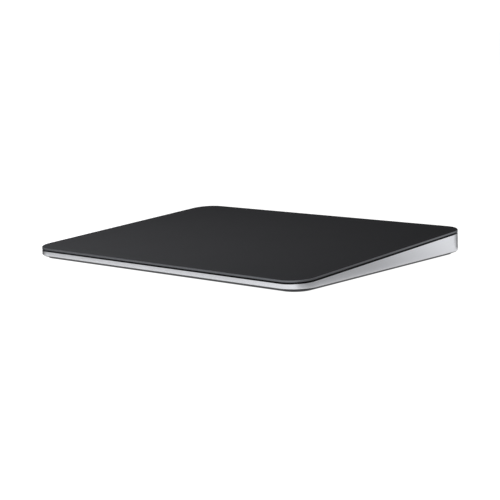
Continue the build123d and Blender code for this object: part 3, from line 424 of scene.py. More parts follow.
@dataclass(frozen=True)
class BlastedAluminium(Finish):
    """Bead-blasted, clear anodised aluminium with a finer cut bevel, on which shade is painted in near black,
    and a milled pocket.
    """

    bevel: float = 0.5 * MM
    # Near black: painted shade on the bevel under the case, and the tone that the scuffs lean towards
    shade_and_scuff_color: Color = (0.02, 0.0202, 0.021)
    bevel_polish: float = 0.12
    scuff_size: float = 3 * MM
    scuff_stretch: Sequence[float] = (18, 1, 1)
    scuff_middle: float = 0.5
    scuff_width: float = 0.012
    scuff_shade: float = 0.08
    scuff_wear: float = 0.04
    worn_size: float = 22 * MM
    worn_levels: Rise = (0.48, 0.62)
    mill_pitch: float = 0.8 * MM
    mill_levels: Band = (FLOOR_TOP - 0.2 * MM, FLOOR_TOP - 0.1 * MM, FLOOR_TOP, FLOOR_TOP + 0.2 * MM)
    mill_inside: Rise = (-1.8 * MM, -1.5 * MM)
    mill_share: float = 6.0
    grain_share: float = 0.6

    def scuffs(self, coat: Coat) -> Value:
        """Mask of the fine lines that desks have rubbed into the underside.

        A line runs where a noise that is drawn out along X is near its middle level, in the worn
        patches alone.

        Args:
            coat: the material's graph.

        Returns:
            The mask, in which most of the face is zero.
        """
        drawn = coat.noise(self.scuff_size, self.scuff_stretch, detail=1.0)
        lines = abs(drawn - self.scuff_middle).fall(0.0, self.scuff_width)
        patches = coat.noise(self.worn_size, detail=1.0).step(*self.worn_levels)
        return lines * patches * coat.axes[Axis.Z].fall(FOOT_STAND + BLUR, FOOT_STAND + 2 * BLUR)

    def cut(self, coat: Coat) -> Value:
        """Mask of the cut bevel round the underside, which carries painted shade."""
        low = coat.axes[Axis.Z].fall(FOOT_STAND + self.bevel - BLUR, FOOT_STAND + self.bevel)
        return low * coat.outline.step(-self.bevel - BLUR, -self.bevel)

    def base(self, coat: Coat) -> Value:
        """Silver, with painted shade in near black on the bevel, and a little darker along the scuffs."""
        worn = coat.mix(self.scuffs(coat) * self.scuff_shade, super().base(coat), self.shade_and_scuff_color)
        return coat.mix(self.cut(coat), worn, self.shade_and_scuff_color)

    def rough(self, coat: Coat) -> Value:
        """Roughness, lower on the cut bevel and higher along the scuffs."""
        smooth = super().rough(coat) - self.cut(coat) * self.bevel_polish
        return smooth + self.scuffs(coat) * self.scuff_wear

    def height(self, coat: Coat) -> Value:
        """Grain outside, and the rings of the cutter on the floor of the pocket.

        Args:
            coat: the material's graph.

        Returns:
            The height.
        """
        settings = {"wave_type": "RINGS", "rings_direction": "Z", "wave_profile": "SIN"}
        inputs = {"Vector": coat.mapped((1, 1, 0)), "Scale": 1 / (TURN * self.mill_pitch), "Distortion": 0.0}
        rings = coat.add("ShaderNodeTexWave", settings, inputs, "Fac")
        milled = rings * coat.axes[Axis.Z].band(*self.mill_levels) * coat.outline.fall(*self.mill_inside)
        return coat.grain * self.grain_share + milled * self.mill_share


@dataclass(frozen=True)
class EtchedGlass(Finish):
    """Matte etched glass, black behind, with a polished edge that looks greyer."""

    edge_color: Color = (0.134, 0.139, 0.151)
    edge_width: float = 0.22 * MM
    edge_metal: float = 1.0
    print_height: float = 0.22 * MM
    thickness: float = 0.9 * MM
    rub_size: tuple[float, float, float] = (0.55 * WIDTH, 0.5 * DEPTH, 20 * MM)
    rub_reach: Rise = (-20 * MM, 15 * MM)
    rub_polish: float = 0.08

    def edge(self, coat: Coat) -> Value:
        """Mask of the polished edge, down to the black print that wraps the lower corner.

        A point's height over the face is its Z less the face's at the same Y, times the cosine of
        the tilt.

        Args:
            coat: the material's graph.

        Returns:
            The mask.
        """
        _, y, z = coat.axes
        over = (z - MIDDLE_HEIGHT - y * math.tan(TILT)) * math.cos(TILT)
        print_top = self.print_height - self.thickness
        rim = coat.outline.step(-self.edge_width, -self.edge_width / 2)
        return rim * over.step(print_top - BLUR, print_top)

    def base(self, coat: Coat) -> Value:
        """Black on the face, with faint marks of use, and grey on the edge."""
        return coat.mix(self.edge(coat), super().base(coat), self.edge_color)

    def metal(self, coat: Coat) -> Operand:
        """A mirror share for the polished edge."""
        return self.edge(coat) * self.edge_metal

    def rough(self, coat: Coat) -> Value:
        """Matte, a little smoother where fingers rub in the middle."""
        rubbed = coat.edge_distance(*self.rub_size).fall(*self.rub_reach)
        return super().rough(coat) - rubbed * coat.cloud * self.rub_polish


@dataclass(frozen=True)
class CircuitBoard(Finish):
    """Solder mask with tracks under it, plated holes through it and, above a level, moulded parts."""

    track_color: Color = (0.022, 0.085, 0.05)
    track_pitch: float = 0.42 * MM
    track_levels: Rise = (0.35, 0.55)
    track_height: float = 0.7
    grain_height: float = 0.2
    zone_size: float = 4.6 * MM
    zone_choice: Rise = (0.5, 0.501)
    zone_border: Rise = (0.04, 0.06)
    plating: Color = (0.75, 0.62, 0.35)
    hole_pitch: float = 3.1 * MM
    hole_ring: Band = (0.03, 0.035, 0.075, 0.085)
    face_rise: Rise = (0.5, 0.6)
    part_color: Color = (0.02, 0.02, 0.022)
    part_level: float = 1.0
    part_blur: float = 0.01 * MM

    def tracks(self, coat: Coat) -> Value:
        """Mask of the tracks: parallel lines along X or Y in square zones, some of them bare.

        Lines are where the cosine of the place across is high. The zones are the cells of a
        pattern with square distances. One random share of a zone turns its lines and another one
        leaves it bare. A line also runs where two zones meet.

        Args:
            coat: the material's graph.

        Returns:
            The mask.
        """
        across, along = (
            coat.math("COSINE", coat.axes[axis] * (TURN / self.track_pitch)).step(*self.track_levels)
            for axis in (Axis.X, Axis.Y)
        )
        shares = coat.cells(self.zone_size, metric="CHEBYCHEV", output="Color")
        turned, bare, _ = (
            share.step(*self.zone_choice) for share in coat.parts(shares, "ShaderNodeSeparateColor")
        )
        lines = across * turned + along * (1 - turned)
        first, second = (coat.cells(self.zone_size, feature, "CHEBYCHEV") for feature in ("F1", "F2"))
        return (lines * bare).most((second - first).fall(*self.zone_border))

    def faces(self, coat: Coat) -> Value:
        """Mask of the board's two faces, which leaves out its cut edges."""
        normal = coat.add("ShaderNodeTexCoord", output="Normal")
        return abs(coat.parts(normal)[Axis.Z]).step(*self.face_rise)

    def holes(self, coat: Coat) -> Value:
        """Mask of the plated rings round small holes."""
        return coat.cells(self.hole_pitch).band(*self.hole_ring) * self.faces(coat)

    def parts(self, coat: Coat) -> Value:
        """Mask of what stands above the parts' level."""
        return coat.axes[Axis.Z].step(self.part_level, self.part_level + self.part_blur)

    def base(self, coat: Coat) -> Value:
        """Mask colour, lighter over tracks, metal at the holes and black on the parts.

        Args:
            coat: the material's graph.

        Returns:
            The colour.
        """
        covered = coat.mix(self.tracks(coat), super().base(coat), self.track_color)
        plated = coat.mix(self.holes(coat), covered, self.plating)
        return coat.mix(self.parts(coat), plated, self.part_color)

    def metal(self, coat: Coat) -> Operand:
        """Metal at the plated rings."""
        return self.holes(coat) * (1 - self.parts(coat))

    def height(self, coat: Coat) -> Value:
        """The mask stands up over the tracks."""
        return self.tracks(coat) * self.track_height + coat.grain * self.grain_height


@dataclass(frozen=True)
class Leg:
    """One straight length of a flat cable, in millimetres: its axis, its place across and its two ends."""

    axis: Axis
    across: float
    start: float
    end: float
    mitre_share: float = 0.01

    def nearness(self, coat: Coat) -> tuple[Value, Value]:
        """Where a point lies across the leg, and how far it is from the leg.

        The distance is the larger of how far the point is across and how far it is beyond the
        ends, plus a small share of the latter, so that two legs meet at a mitre.

        Args:
            coat: the material's graph.

        Returns:
            The place across, and the distance.
        """
        across = coat.axes[1 - self.axis] - self.across * MM
        middle, half = (self.start + self.end) / 2 * MM, abs(self.end - self.start) / 2 * MM
        beyond = abs(coat.axes[self.axis] - middle) - half
        return across, abs(across).most(beyond) + beyond.most(0.0) * self.mitre_share


Course = tuple[Axis, float, float, float]


@dataclass(frozen=True)
class FlexFilm(Finish):
    """Amber film with copper strips in it that follow the legs of a cable."""

    color: Color = (0.36, 0.15, 0.025)
    roughness: float = 0.3
    grain_depth: float = 0.01 * MM
    copper: Color = (0.50, 0.24, 0.08)
    strip_pitch: float = 0.4 * MM
    strip_levels: Rise = (-0.25, 0.05)
    legs: tuple[Leg, ...] = ()

    @classmethod
    def along(cls, name: str, *legs: Course) -> "FlexFilm":
        """The film of one cable, from the first four fields of each of its legs."""
        return cls(name, legs=tuple(Leg(*leg) for leg in legs))

    def strips(self, coat: Coat) -> Value:
        """Mask of the strips, where the cosine of the place across the nearest leg is high.

        Args:
            coat: the material's graph.

        Returns:
            The mask.
        """
        place, nearest = self.legs[0].nearness(coat)
        for leg in self.legs[1:]:
            across, distance = leg.nearness(coat)
            closer = coat.math("LESS_THAN", distance, nearest)
            place = place * (1 - closer) + across * closer
            nearest = nearest.least(distance)
        return coat.math("COSINE", place * (TURN / self.strip_pitch)).step(*self.strip_levels)

    def base(self, coat: Coat) -> Value:
        """Film colour, with copper where the strips are."""
        return coat.mix(self.strips(coat), super().base(coat), self.copper)

    def height(self, coat: Coat) -> Value:
        """The film stands up over the strips."""
        return self.strips(coat)


@dataclass(frozen=True)
class KnobPlastic(Finish):
    """Silver tinted plastic, with a green field on the hidden part of the plate that shows when on."""

    signal: Color = (0.05, 0.42, 0.12)
    signal_across: Band = (31.5 * MM, 31.6 * MM, 34.4 * MM, 34.45 * MM)
    signal_deep: Band = (55.7 * MM, 55.8 * MM, 56.0 * MM, 56.02 * MM)

    def base(self, coat: Coat) -> Value:
        """Plastic colour, and the green field beside the knob on the plate's rear face."""
        lit = coat.axes[Axis.X].band(*self.signal_across) * coat.axes[Axis.Y].band(*self.signal_deep)
        return coat.mix(lit, super().base(coat), self.signal)


ALONG_X = (30, 1, 1)
ALONG_Y = (1, 30, 1)
BOARD_GREEN = (0.012, 0.045, 0.028)

ALUMINIUM = BlastedAluminium(
    "blasted_aluminium", (0.602, 0.610, 0.636), metallic=1.0, roughness=0.34, clouding=0.015,
    grain_size=0.09 * MM, grain_depth=0.0012 * MM, unevenness=0.05,
)
GLASS = EtchedGlass(
    "etched_black_glass", (0.0255, 0.0258, 0.0275), specular=0.0, clouding=0.05, cloud_size=25 * MM,
    grain_size=0.05 * MM, grain_depth=0.0006 * MM, unevenness=0.06,
)
GASKET = Finish("black_gasket", (0.006, 0.006, 0.006), roughness=0.9, specular=0.2, grain_depth=0.02 * MM)
ADHESIVE = Finish("clear_adhesive_looks", (0.5, 0.5, 0.45), roughness=0.25, clouding=0.05, cloud_size=3 * MM)
BOARD = CircuitBoard("circuit_board_looks", BOARD_GREEN, roughness=0.36, unevenness=0.06)
GUARD_BOARD = CircuitBoard("guard_circuit_board", BOARD_GREEN, roughness=0.36, part_level=3.11 * MM)
STAMPED = Finish(
    "stamped_steel_looks", (0.55, 0.55, 0.56), metallic=1.0, roughness=0.32, grain_size=0.12 * MM,
    grain_stretch=ALONG_X, grain_depth=0.002 * MM,
)
SPRING = Finish(
    "spring_steel_looks", (0.46, 0.44, 0.41), metallic=1.0, roughness=0.24, grain_size=0.1 * MM,
    grain_stretch=ALONG_Y, grain_depth=0.001 * MM,
)
PACKAGE = Finish(
    "moulded_package", (0.02, 0.02, 0.022), roughness=0.55, grain_size=0.12 * MM, grain_depth=0.006 * MM,
)
CERAMIC = Finish("ceramic_body", (0.36, 0.27, 0.17), cloud_size=2 * MM, grain_size=0.08 * MM)
FERRITE = Finish(
    "ferrite_block", (0.05, 0.05, 0.052), roughness=0.6, grain_size=0.1 * MM, grain_depth=0.01 * MM,
)
SOLDER = Finish("tinned_end", (0.62, 0.62, 0.6), metallic=1.0, roughness=0.3, grain_size=0.1 * MM)
CONNECTOR = Finish("connector_plastic_looks", (0.03, 0.03, 0.032), roughness=0.45, grain_size=0.2 * MM)
IVORY = Finish(
    "ivory_plastic", (0.5, 0.44, 0.33), roughness=0.4, grain_size=0.1 * MM, grain_depth=0.002 * MM,
)
SILICONE = Finish("soft_silicone", (0.2, 0.2, 0.21), roughness=0.7, grain_size=0.5 * MM)
TAPE = Finish("amber_tape", (0.42, 0.19, 0.03), roughness=0.25, cloud_size=4 * MM, grain_depth=0.01 * MM)
SCREW = Finish(
    "plated_screw", (0.42, 0.42, 0.43), metallic=1.0, roughness=0.28, grain_size=0.08 * MM,
    grain_depth=0.001 * MM,
)
COPPER = Finish("enamelled_copper", (0.72, 0.30, 0.12), metallic=1.0, roughness=0.25, grain_size=0.1 * MM)
HEAVY = Finish(
    "sintered_mass", (0.26, 0.26, 0.27), metallic=1.0, grain_size=0.15 * MM, grain_depth=0.01 * MM,
)
NICKEL = Finish("nickel_plate", (0.62, 0.60, 0.56), metallic=1.0, roughness=0.18, grain_depth=0.001 * MM)
POUCH = Finish(
    "pouch_foil", (0.30, 0.30, 0.31), metallic=0.9, roughness=0.34, clouding=0.1, cloud_size=6 * MM,
    grain_size=0.6 * MM, grain_depth=0.02 * MM,
)
STRIP = Finish("nickel_strip", (0.6, 0.58, 0.54), metallic=1.0, roughness=0.3, grain_stretch=ALONG_Y)
DRAWN = Finish(
    "drawn_shell", (0.52, 0.52, 0.53), metallic=1.0, roughness=0.26, grain_stretch=ALONG_Y,
    grain_depth=0.001 * MM,
)
GOLD = Finish("gold_plate", (0.9, 0.62, 0.22), metallic=1.0, roughness=0.22, grain_depth=0.0005 * MM)
JACKET = Finish("lead_jacket_looks", (0.02, 0.02, 0.02), grain_size=0.3 * MM)
KNOB = KnobPlastic(
    "silver_plastic", (0.47, 0.475, 0.485), metallic=0.55, roughness=0.42, clouding=0.03,
    grain_size=0.12 * MM, grain_depth=0.001 * MM,
)
RUBBER = Finish(
    "foot_rubber_looks", (0.016, 0.016, 0.017), roughness=0.75, specular=0.3, grain_size=0.18 * MM,
    grain_depth=0.012 * MM,
)


# The two long cables, in millimetres: where their tails and trunk lie in X, and both ends of each tail in Y
GAUGE_TAIL = 64.95
GAUGE_TRUNK = 76.3
GAUGE_FRONT = (-45.3, -38.5)
GAUGE_REAR = (39.2, 46.0)


def gauge_film(side: Side, *branch: Course) -> FlexFilm:
    """The finish of the long cable at one side.

    Args:
        side: the side.
        branch: legs from the trunk to the logic board.

    Returns:
        The finish.
    """
    tail, trunk = side.value * GAUGE_TAIL, side.value * GAUGE_TRUNK
    (start, front), (rear, end) = GAUGE_FRONT, GAUGE_REAR
    return FlexFilm.along(
        f"gauge_film_{side.name.lower()}",
        (Axis.Y, tail, start, front), (Axis.X, front, tail, trunk), (Axis.Y, trunk, front, rear),
        (Axis.X, rear, trunk, tail), (Axis.Y, tail, rear, end), *branch,
    )


FILMS: dict[str, Finish] = {
    "strain_gauges": FlexFilm.along("strain_film", (Axis.X, 0.0, -80.0, 80.0)),
    "gauge_cable_left": gauge_film(Side.LEFT, (Axis.X, -3.5, -76.3, -69.0)),
    "gauge_cable_right": gauge_film(
        Side.RIGHT, (Axis.X, -26.2, 76.3, -33.13), (Axis.Y, -33.13, -26.2, -17.0),
    ),
    "touch_cable": FlexFilm.along("touch_film", (Axis.Y, -38.59, -40.0, -10.0)),
    "battery_cable": FlexFilm.along(
        "battery_film", (Axis.X, 5.97, -31.0, -17.6), (Axis.Y, -17.6, 5.97, 11.0),
    ),
    "charge_cable": FlexFilm.along(
        "charge_film", (Axis.X, 0.81, -31.0, -0.425), (Axis.Y, -0.425, 0.81, 51.0),
    ),
    "switch_cable": FlexFilm.along("switch_film", (Axis.X, 52.15, 10.0, 27.0)),
}


# Studio


def placed(name: str, data: Any) -> bpy.types.Object:
    """Adds a new object to the scene.

    Args:
        name: the object's name.
        data: its mesh, light or camera.

    Returns:
        The object.
    """
    made = bpy.data.objects.new(name, data)
    bpy.context.scene.collection.objects.link(made)
    return made


def stage_face(name: str, corners: Array) -> bpy.types.Object:
    """Adds one face of the studio.

    Args:
        name: the object's name.
        corners: its corners in order.

    Returns:
        The object.
    """
    mesh = bpy.data.meshes.new(name)
    mesh.from_pydata(corners.tolist(), [], [tuple(range(len(corners)))])
    made = placed(name, mesh)
    return made


@dataclass(frozen=True)
class Lamp:
    """One soft rectangular light, aimed at a point of the object."""

    name: str
    place: Point
    size: tuple[float, float]
    power: float
    mirrored: bool = True
    aim: Point = (0.0, 0.0, 0.005)

    def hang(self) -> bpy.types.Object:
        """Adds the light to the scene.

        Returns:
            The light's object.
        """
        data = bpy.data.lights.new(self.name, "AREA")
        data.shape = "RECTANGLE"
        data.size, data.size_y = self.size
        data.energy = self.power
        lamp = placed(self.name, data)
        lamp.location = self.place
        lamp.visible_glossy = self.mirrored
        lamp.rotation_euler = (Vector(self.aim) - Vector(self.place)).to_track_quat("-Z", "Y").to_euler()
        return lamp


@dataclass(frozen=True)
class Card:
    """One leaning card beside the object, graded along its length and only seen in reflections."""

    name: str
    near: Point
    far: Point
    along: Axis
    stops: tuple[Stop, ...]
    strength: float = 1.4

    def corners(self) -> Array:
        """Corners of the card, level along its length and rising from its near to its far edge.

        Returns:
            The four corners in order.
        """
        corners = np.array([self.near, self.near, self.far, self.far])
        corners[[1, 3], self.along] = self.far[self.along], self.near[self.along]
        return corners

    def stand(self) -> bpy.types.Object:
        """Adds the card to the scene.

        Returns:
            The card's object.
        """
        made = stage_face(self.name, self.corners())
        material = bpy.data.materials.new(self.name)
        graph = Graph(material)
        low, high = sorted((self.near[self.along], self.far[self.along]))
        share = (graph.axes[self.along] - low) / (high - low)
        shade = graph.add("ShaderNodeValToRGB", {"stops": self.stops}, {"Fac": share})
        glow = graph.add("ShaderNodeEmission", inputs={"Color": shade, "Strength": self.strength})
        graph.add("ShaderNodeOutputMaterial", inputs={"Surface": glow})
        made.data.materials.append(material)
        made.visible_camera = made.visible_diffuse = made.visible_shadow = False
        return made


@dataclass
class Studio:
    """White surroundings, soft lights and the camera of the photograph."""

    camera_place: Point = (0.3935531, -0.4257338, 0.0982839)
    azimuth: float = 42.5599
    elevation: float = 9.4222
    roll: float = -1.8712
    focal_pixels: float = 1301.7318
    frame_pixels: float = 500.0
    sensor: float = 36.0
    clip: tuple[float, float] = (0.01, 200.0)
    sky_seen: float = 1.2
    sky_glossy: float = 0.85
    sky_diffuse: float = 0.15
    floor_glow: float = 1.0
    floor_color: Color = (0.2, 0.2, 0.2)
    floor_size: float = 60.0
    # Painted shadow on the floor under the object: its rise as the camera sees it, its rise in reflections,
    # and the least glow there
    shade: Rise = (-3.2 * MM, -2.6 * MM)
    glossy_shade: Rise = (-1 * MM, 1 * MM)
    glossy_least: float = 0.6
    cards: tuple[Card, ...] = (
        Card("right_card", (0.084, -0.13, 0.0005), (0.17, 0.15, 0.05), Axis.Y, (
            (0.3, 0.31), (0.46, 0.38), (0.58, 0.62), (0.68, 0.86), (0.75, 1.0),
        )),
        Card("front_card", (-0.22, -0.0625, 0.0005), (0.09, -0.14, 0.05), Axis.X, (
            (0.3, 0.34), (0.5, 0.5), (0.65, 0.6), (0.82, 0.63), (0.95, 0.86),
        )),
        Card("left_card", (-0.0808, -0.13, 0.0001), (-0.17, 0.13, 0.05), Axis.Y, (
            (0.1, 0.42), (0.25, 0.45), (0.28, 0.04), (0.33, 0.04), (0.37, 0.5), (0.9, 0.62),
        )),
        Card("rear_card", (-0.13, 0.0625, 0.0005), (0.13, 0.14, 0.05), Axis.X, (
            (0.1, 0.6), (0.5, 0.52), (0.745, 0.5), (0.765, 0.03), (0.805, 0.03), (0.825, 0.42),
        )),
    )
    lamps: tuple[Lamp, ...] = (
        Lamp("key_softbox", place=(-0.1, -0.17, 0.2), size=(0.12, 0.12), power=1.2, mirrored=False),
        Lamp("front_softbox", place=(0.45, -0.65, 0.35), size=(0.5, 0.3), power=1.0),
    )

    def camera(self) -> bpy.types.Object:
        """Adds the camera, solved from the photograph's edges.

        The view's backward direction comes from azimuth and elevation, the roll turns its right and
        up directions about it, and the lens is the focal length in pixels times sensor over frame.

        Returns:
            The camera's object.
        """
        a, e, r = (math.radians(angle) for angle in (self.azimuth, self.elevation, self.roll))
        back = Vector((math.sin(a) * math.cos(e), -math.cos(a) * math.cos(e), math.sin(e)))
        right = (-back).cross(Vector((0, 0, 1))).normalized()
        up = back.cross(right)
        axes = (math.cos(r) * right + math.sin(r) * up, math.cos(r) * up - math.sin(r) * right, back)
        data = bpy.data.cameras.new("photo_camera")
        data.sensor_width = self.sensor
        data.lens = self.focal_pixels * self.sensor / self.frame_pixels
        data.clip_start, data.clip_end = self.clip
        camera = placed("photo_camera", data)
        camera.matrix_world = Matrix.Translation(self.camera_place) @ Matrix(axes).transposed().to_4x4()
        bpy.context.scene.camera = camera
        return camera

    def world(self) -> None:
        """Makes the surroundings, white to the camera and dimmer to the object."""
        world = bpy.data.worlds.new("white_room")
        bpy.context.scene.world = world
        graph = Graph(world)
        white, glossy, diffuse = (
            graph.add("ShaderNodeBackground", inputs={"Color": (*WHITE, 1.0), "Strength": strength})
            for strength in (self.sky_seen, self.sky_glossy, self.sky_diffuse)
        )
        seen = graph.add("ShaderNodeLightPath", output="Is Camera Ray")
        soft = graph.add("ShaderNodeLightPath", output="Is Diffuse Ray")
        lit = graph.add("ShaderNodeMixShader", inputs={0: soft, 1: glossy, 2: diffuse})
        both = graph.add("ShaderNodeMixShader", inputs={0: seen, 1: lit, 2: white})
        graph.add("ShaderNodeOutputWorld", inputs={"Surface": both})

    def floor_light(self, graph: Graph) -> Value:
        """How the floor glows, with a painted shadow under the object: to the camera black well under it, to
        all else only dimmer there.

        Args:
            graph: the floor's graph.

        Returns:
            The colour of the glow.
        """
        dimmed = graph.outline.step(*self.glossy_shade) * (1 - self.glossy_least) + self.glossy_least
        unseen, seen = (
            graph.mix(share, BLACK, WHITE) for share in (dimmed, graph.outline.step(*self.shade))
        )
        return graph.mix(graph.add("ShaderNodeLightPath", output="Is Camera Ray"), unseen, seen)

    def floor(self) -> bpy.types.Object:
        """Lays the pale floor, which glows as a light table does, with a painted shadow under the object, and
        isn't seen from below.

        Returns:
            The floor's object.
        """
        square = np.array([(-1, -1, 0), (1, -1, 0), (1, 1, 0), (-1, 1, 0)])
        floor = stage_face("studio_floor", square * self.floor_size / 2)
        material = bpy.data.materials.new("light_table")
        graph = Graph(material)
        color = self.floor_light(graph)
        diffuse = graph.add("ShaderNodeBsdfDiffuse", inputs={"Color": (*self.floor_color, 1.0)})
        glow = graph.add("ShaderNodeEmission", inputs={"Color": color, "Strength": self.floor_glow})
        lit = graph.add("ShaderNodeAddShader", inputs={0: diffuse, 1: glow})
        clear = graph.add("ShaderNodeBsdfTransparent")
        below = graph.add("ShaderNodeNewGeometry", output="Backfacing")
        shader = graph.add("ShaderNodeMixShader", inputs={0: below, 1: lit, 2: clear})
        graph.add("ShaderNodeOutputMaterial", inputs={"Surface": shader})
        floor.data.materials.append(material)
        return floor

    def build(self) -> None:
        """Sets up the whole studio."""
        bpy.context.scene.view_settings.view_transform = "Standard"
        self.camera()
        self.world()
        self.floor()
        for card in self.cards:
            card.stand()
        for lamp in self.lamps:
            lamp.hang()
        LOG.info("studio with %d lights and %d cards", len(self.lamps), len(self.cards))


# Surfaces

LEAST_ROUND = 1e-3 * MM
EDGE_ROWS = 4
BEND_POINTS = 8
JOIN_DIGITS = 7
ORDER_DIGITS = 5
SHARP_ANGLE = math.radians(35)


def points(*parts: Union[Array, float]) -> Array:
    """Points, or rows of other numbers, from arrays or single numbers for each of their parts."""
    return np.stack(np.broadcast_arrays(*parts), -1)


def quarter(count: int) -> Array:
    """Evenly spaced angles from zero to a right angle."""
    return np.linspace(0, RIGHT_ANGLE, count)


def circle(count: int) -> Array:
    """Points of the unit circle, counter-clockwise, in count by 2."""
    angle = np.linspace(0, TURN, count, endpoint=False)
    return points(np.cos(angle), np.sin(angle))


def row(length: float, margin: float, pitch: float) -> Array:
    """Places of one pitch about zero, as many as fit in a length less a margin at each end."""
    count = int((length - 2 * margin) / pitch) + 1
    return (np.arange(count) - (count - 1) / 2) * pitch


@dataclass(frozen=True)
class Skin:
    """Corners and faces of one or more closed surfaces."""

    corners: Array
    quads: Array
    fans: Array

    @classmethod
    def tube(cls, rings: Array) -> "Skin":
        """Closes a stack of rings into a skin.

        Each ring runs counter-clockwise as seen from the end of the stack, so that faces point
        outwards. The ends are closed by fans from the middle of the first and the last ring.

        Args:
            rings: points in rings by columns by 3.

        Returns:
            The skin.
        """
        rows, columns, _ = rings.shape
        index = np.arange(rows * columns).reshape(rows, columns)
        beside = np.roll(index, -1, 1)
        quads = points(index[:-1], beside[:-1], beside[1:], index[1:]).reshape(-1, 4)
        start = points(rows * columns, beside[0], index[0])
        end = points(rows * columns + 1, index[-1], beside[-1])
        corners = np.concatenate([rings.reshape(-1, 3), rings[[0, -1]].mean(1)])
        return cls(corners, quads, np.concatenate([start, end]))

    @classmethod
    def joined(cls, skins: Iterable["Skin"]) -> "Skin":
        """Keeps several skins together as one.

        Args:
            skins: the skins.

        Returns:
            One skin.
        """
        parts = list(skins)
        starts = np.cumsum([0] + [len(part.corners) for part in parts[:-1]])
        return cls(
            np.concatenate([part.corners for part in parts]),
            np.concatenate([part.quads + start for part, start in zip(parts, starts)]),
            np.concatenate([part.fans + start for part, start in zip(parts, starts)]),
        )

    def moved(self, place: Sequence[float]) -> "Skin":
        """The skin moved by a vector."""
        return Skin(self.corners + np.array(place), self.quads, self.fans)

    def turned(self, axes: Array) -> "Skin":
        """The skin turned from its own axes, given in rows, to the shared frame."""
        return Skin(self.corners @ axes, self.quads, self.fans)

    def repeated(self, places: Iterable[Sequence[float]]) -> "Skin":
        """Copies of the skin, each moved to one of the places."""
        return Skin.joined(self.moved(place) for place in places)

    def mesh(self, name: str) -> bpy.types.Mesh:
        """Makes the mesh, smooth but for its sharp edges.

        Args:
            name: the mesh's name.

        Returns:
            The mesh.
        """
        made = bpy.data.meshes.new(name)
        made.from_pydata(self.corners.tolist(), [], self.quads.tolist() + self.fans.tolist())
        made.polygons.foreach_set("use_smooth", np.ones(len(made.polygons), bool))
        made.set_sharp_from_angle(angle=SHARP_ANGLE)
        made.update()
        return made


def turned_skin(profile: Array, count: int) -> Skin:
    """Turns a profile round Z.

    Args:
        profile: rows of radius and height, from the bottom's middle outwards and up to the top's.
        count: columns round the axis.

    Returns:
        The skin.
    """
    radius, height = profile.T[..., None]
    x, y = circle(count).T
    return Skin.tube(points(radius * x, radius * y, height))


def slab_skin(size: Sequence[float], radius: float, profile: Array, count: int) -> Skin:
    """Stacks rounded rectangles along Z.

    Each outline is four quarter circles. Their radius is the corner radius less the inset, but
    never quite nothing, and their centres lie at half the size less the inset less that radius.

    Args:
        size: length and breadth of the widest outline.
        radius: its corner radius.
        profile: rows of inset and height, from the bottom's middle outwards and up to the top's.
        count: points in a quarter circle.

    Returns:
        The skin about the origin.
    """
    angle = (quarter(count) + RIGHT_ANGLE * np.arange(4)[:, None]).reshape(-1)
    inset, height = profile.T[..., None]
    bend = np.maximum(radius - inset, LEAST_ROUND)
    x, y = (
        np.maximum(span / 2 - inset - bend, 0.0) * np.repeat(signs, count) + bend * wave(angle)
        for span, signs, wave in zip(size, ((1, -1, -1, 1), (1, 1, -1, -1)), (np.cos, np.sin))
    )
    return Skin.tube(points(x, y, height))


def swept_skin(path: Array, section: Array) -> Skin:
    """Carries a section along a path that stays nearly level.

    The section's first axis is the path's level left-hand normal and its second one is Z.

    Args:
        path: points in rows.
        section: rows of left and up, counter-clockwise as seen against the path's direction.

    Returns:
        The skin.
    """
    along = np.gradient(path, axis=0)
    left = points(-along[:, 1], along[:, 0], 0.0)
    left /= np.linalg.norm(left, axis=1)[:, None]
    up = np.array([0.0, 0.0, 1.0])
    return Skin.tube(path[:, None] + section[None, :, :1] * left[:, None] + section[None, :, 1:] * up)


def rounded_path(corners: Array, radius: float) -> Array:
    """Rounds the right-angled corners of a path.

    Each corner becomes a quarter circle that leaves the first leg one radius before the corner and
    joins the second leg one radius after it.

    Args:
        corners: the path's points, ends included.
        radius: radius of the bends.

    Returns:
        The path's points.
    """
    leg = np.diff(corners, axis=0)
    leg /= np.linalg.norm(leg, axis=1)[:, None]
    angle = quarter(BEND_POINTS)[None, :, None]
    before, after, corner = leg[:-1, None], leg[1:, None], corners[1:-1, None]
    bends = corner + radius * ((1 - np.cos(angle)) * after - (1 - np.sin(angle)) * before)
    return np.concatenate([corners[:1], bends.reshape(-1, 3), corners[-1:]])


@dataclass(frozen=True)
class Block:
    """A rounded block that stands about the origin."""

    length: float
    breadth: float
    height: float
    corner: float
    bevel: float
    corner_points: int = 4

    def skin(self, base: float = 0.0) -> Skin:
        """Builds the block's surface.

        Its profile is level from the middle to the edge, a quarter circle of the bevel's radius, the
        wall, and the same again in reverse above.

        Args:
            base: level of its underside.

        Returns:
            The skin.
        """
        angle = quarter(EDGE_ROWS)
        edge = self.bevel * (1 - points(np.sin(angle), np.cos(angle)))
        low = np.concatenate([[(2 * self.bevel, 0.0)], edge])
        profile = np.concatenate([low, low[::-1] * (1, -1) + (0, self.height)]) + (0, base)
        return slab_skin((self.length, self.breadth), self.corner, profile, self.corner_points)


class Lie(Enum):
    """How a piece lies: level with the desk, or along the tilted touch plate."""

    LEVEL = 0.0
    TILTED = TILT

    def axes(self) -> Array:
        """The piece's own axes in the shared frame, one in each row of a 3 by 3 array."""
        c, s = math.cos(self.value), math.sin(self.value)
        return np.array([(1.0, 0.0, 0.0), (0.0, c, s), (0.0, -s, c)])


@dataclass(frozen=True)
class Room:
    """The box of one CAD solid, along the axes of its lie."""

    low: Array
    high: Array
    lie: Lie

    @property
    def middle(self) -> Array:
        """Middle of the box."""
        return (self.low + self.high) / 2

    @property
    def size(self) -> Array:
        """Size of the box."""
        return self.high - self.low

    def seated(self, skin: Skin, facing: Facing = Facing.UP) -> Skin:
        """A skin from about the origin, set on the box's underside, or at its top for one that hangs."""
        level = (self.low if facing is Facing.UP else self.high)[Axis.Z]
        return skin.moved((*self.middle[:2], level)).turned(self.lie.axes())


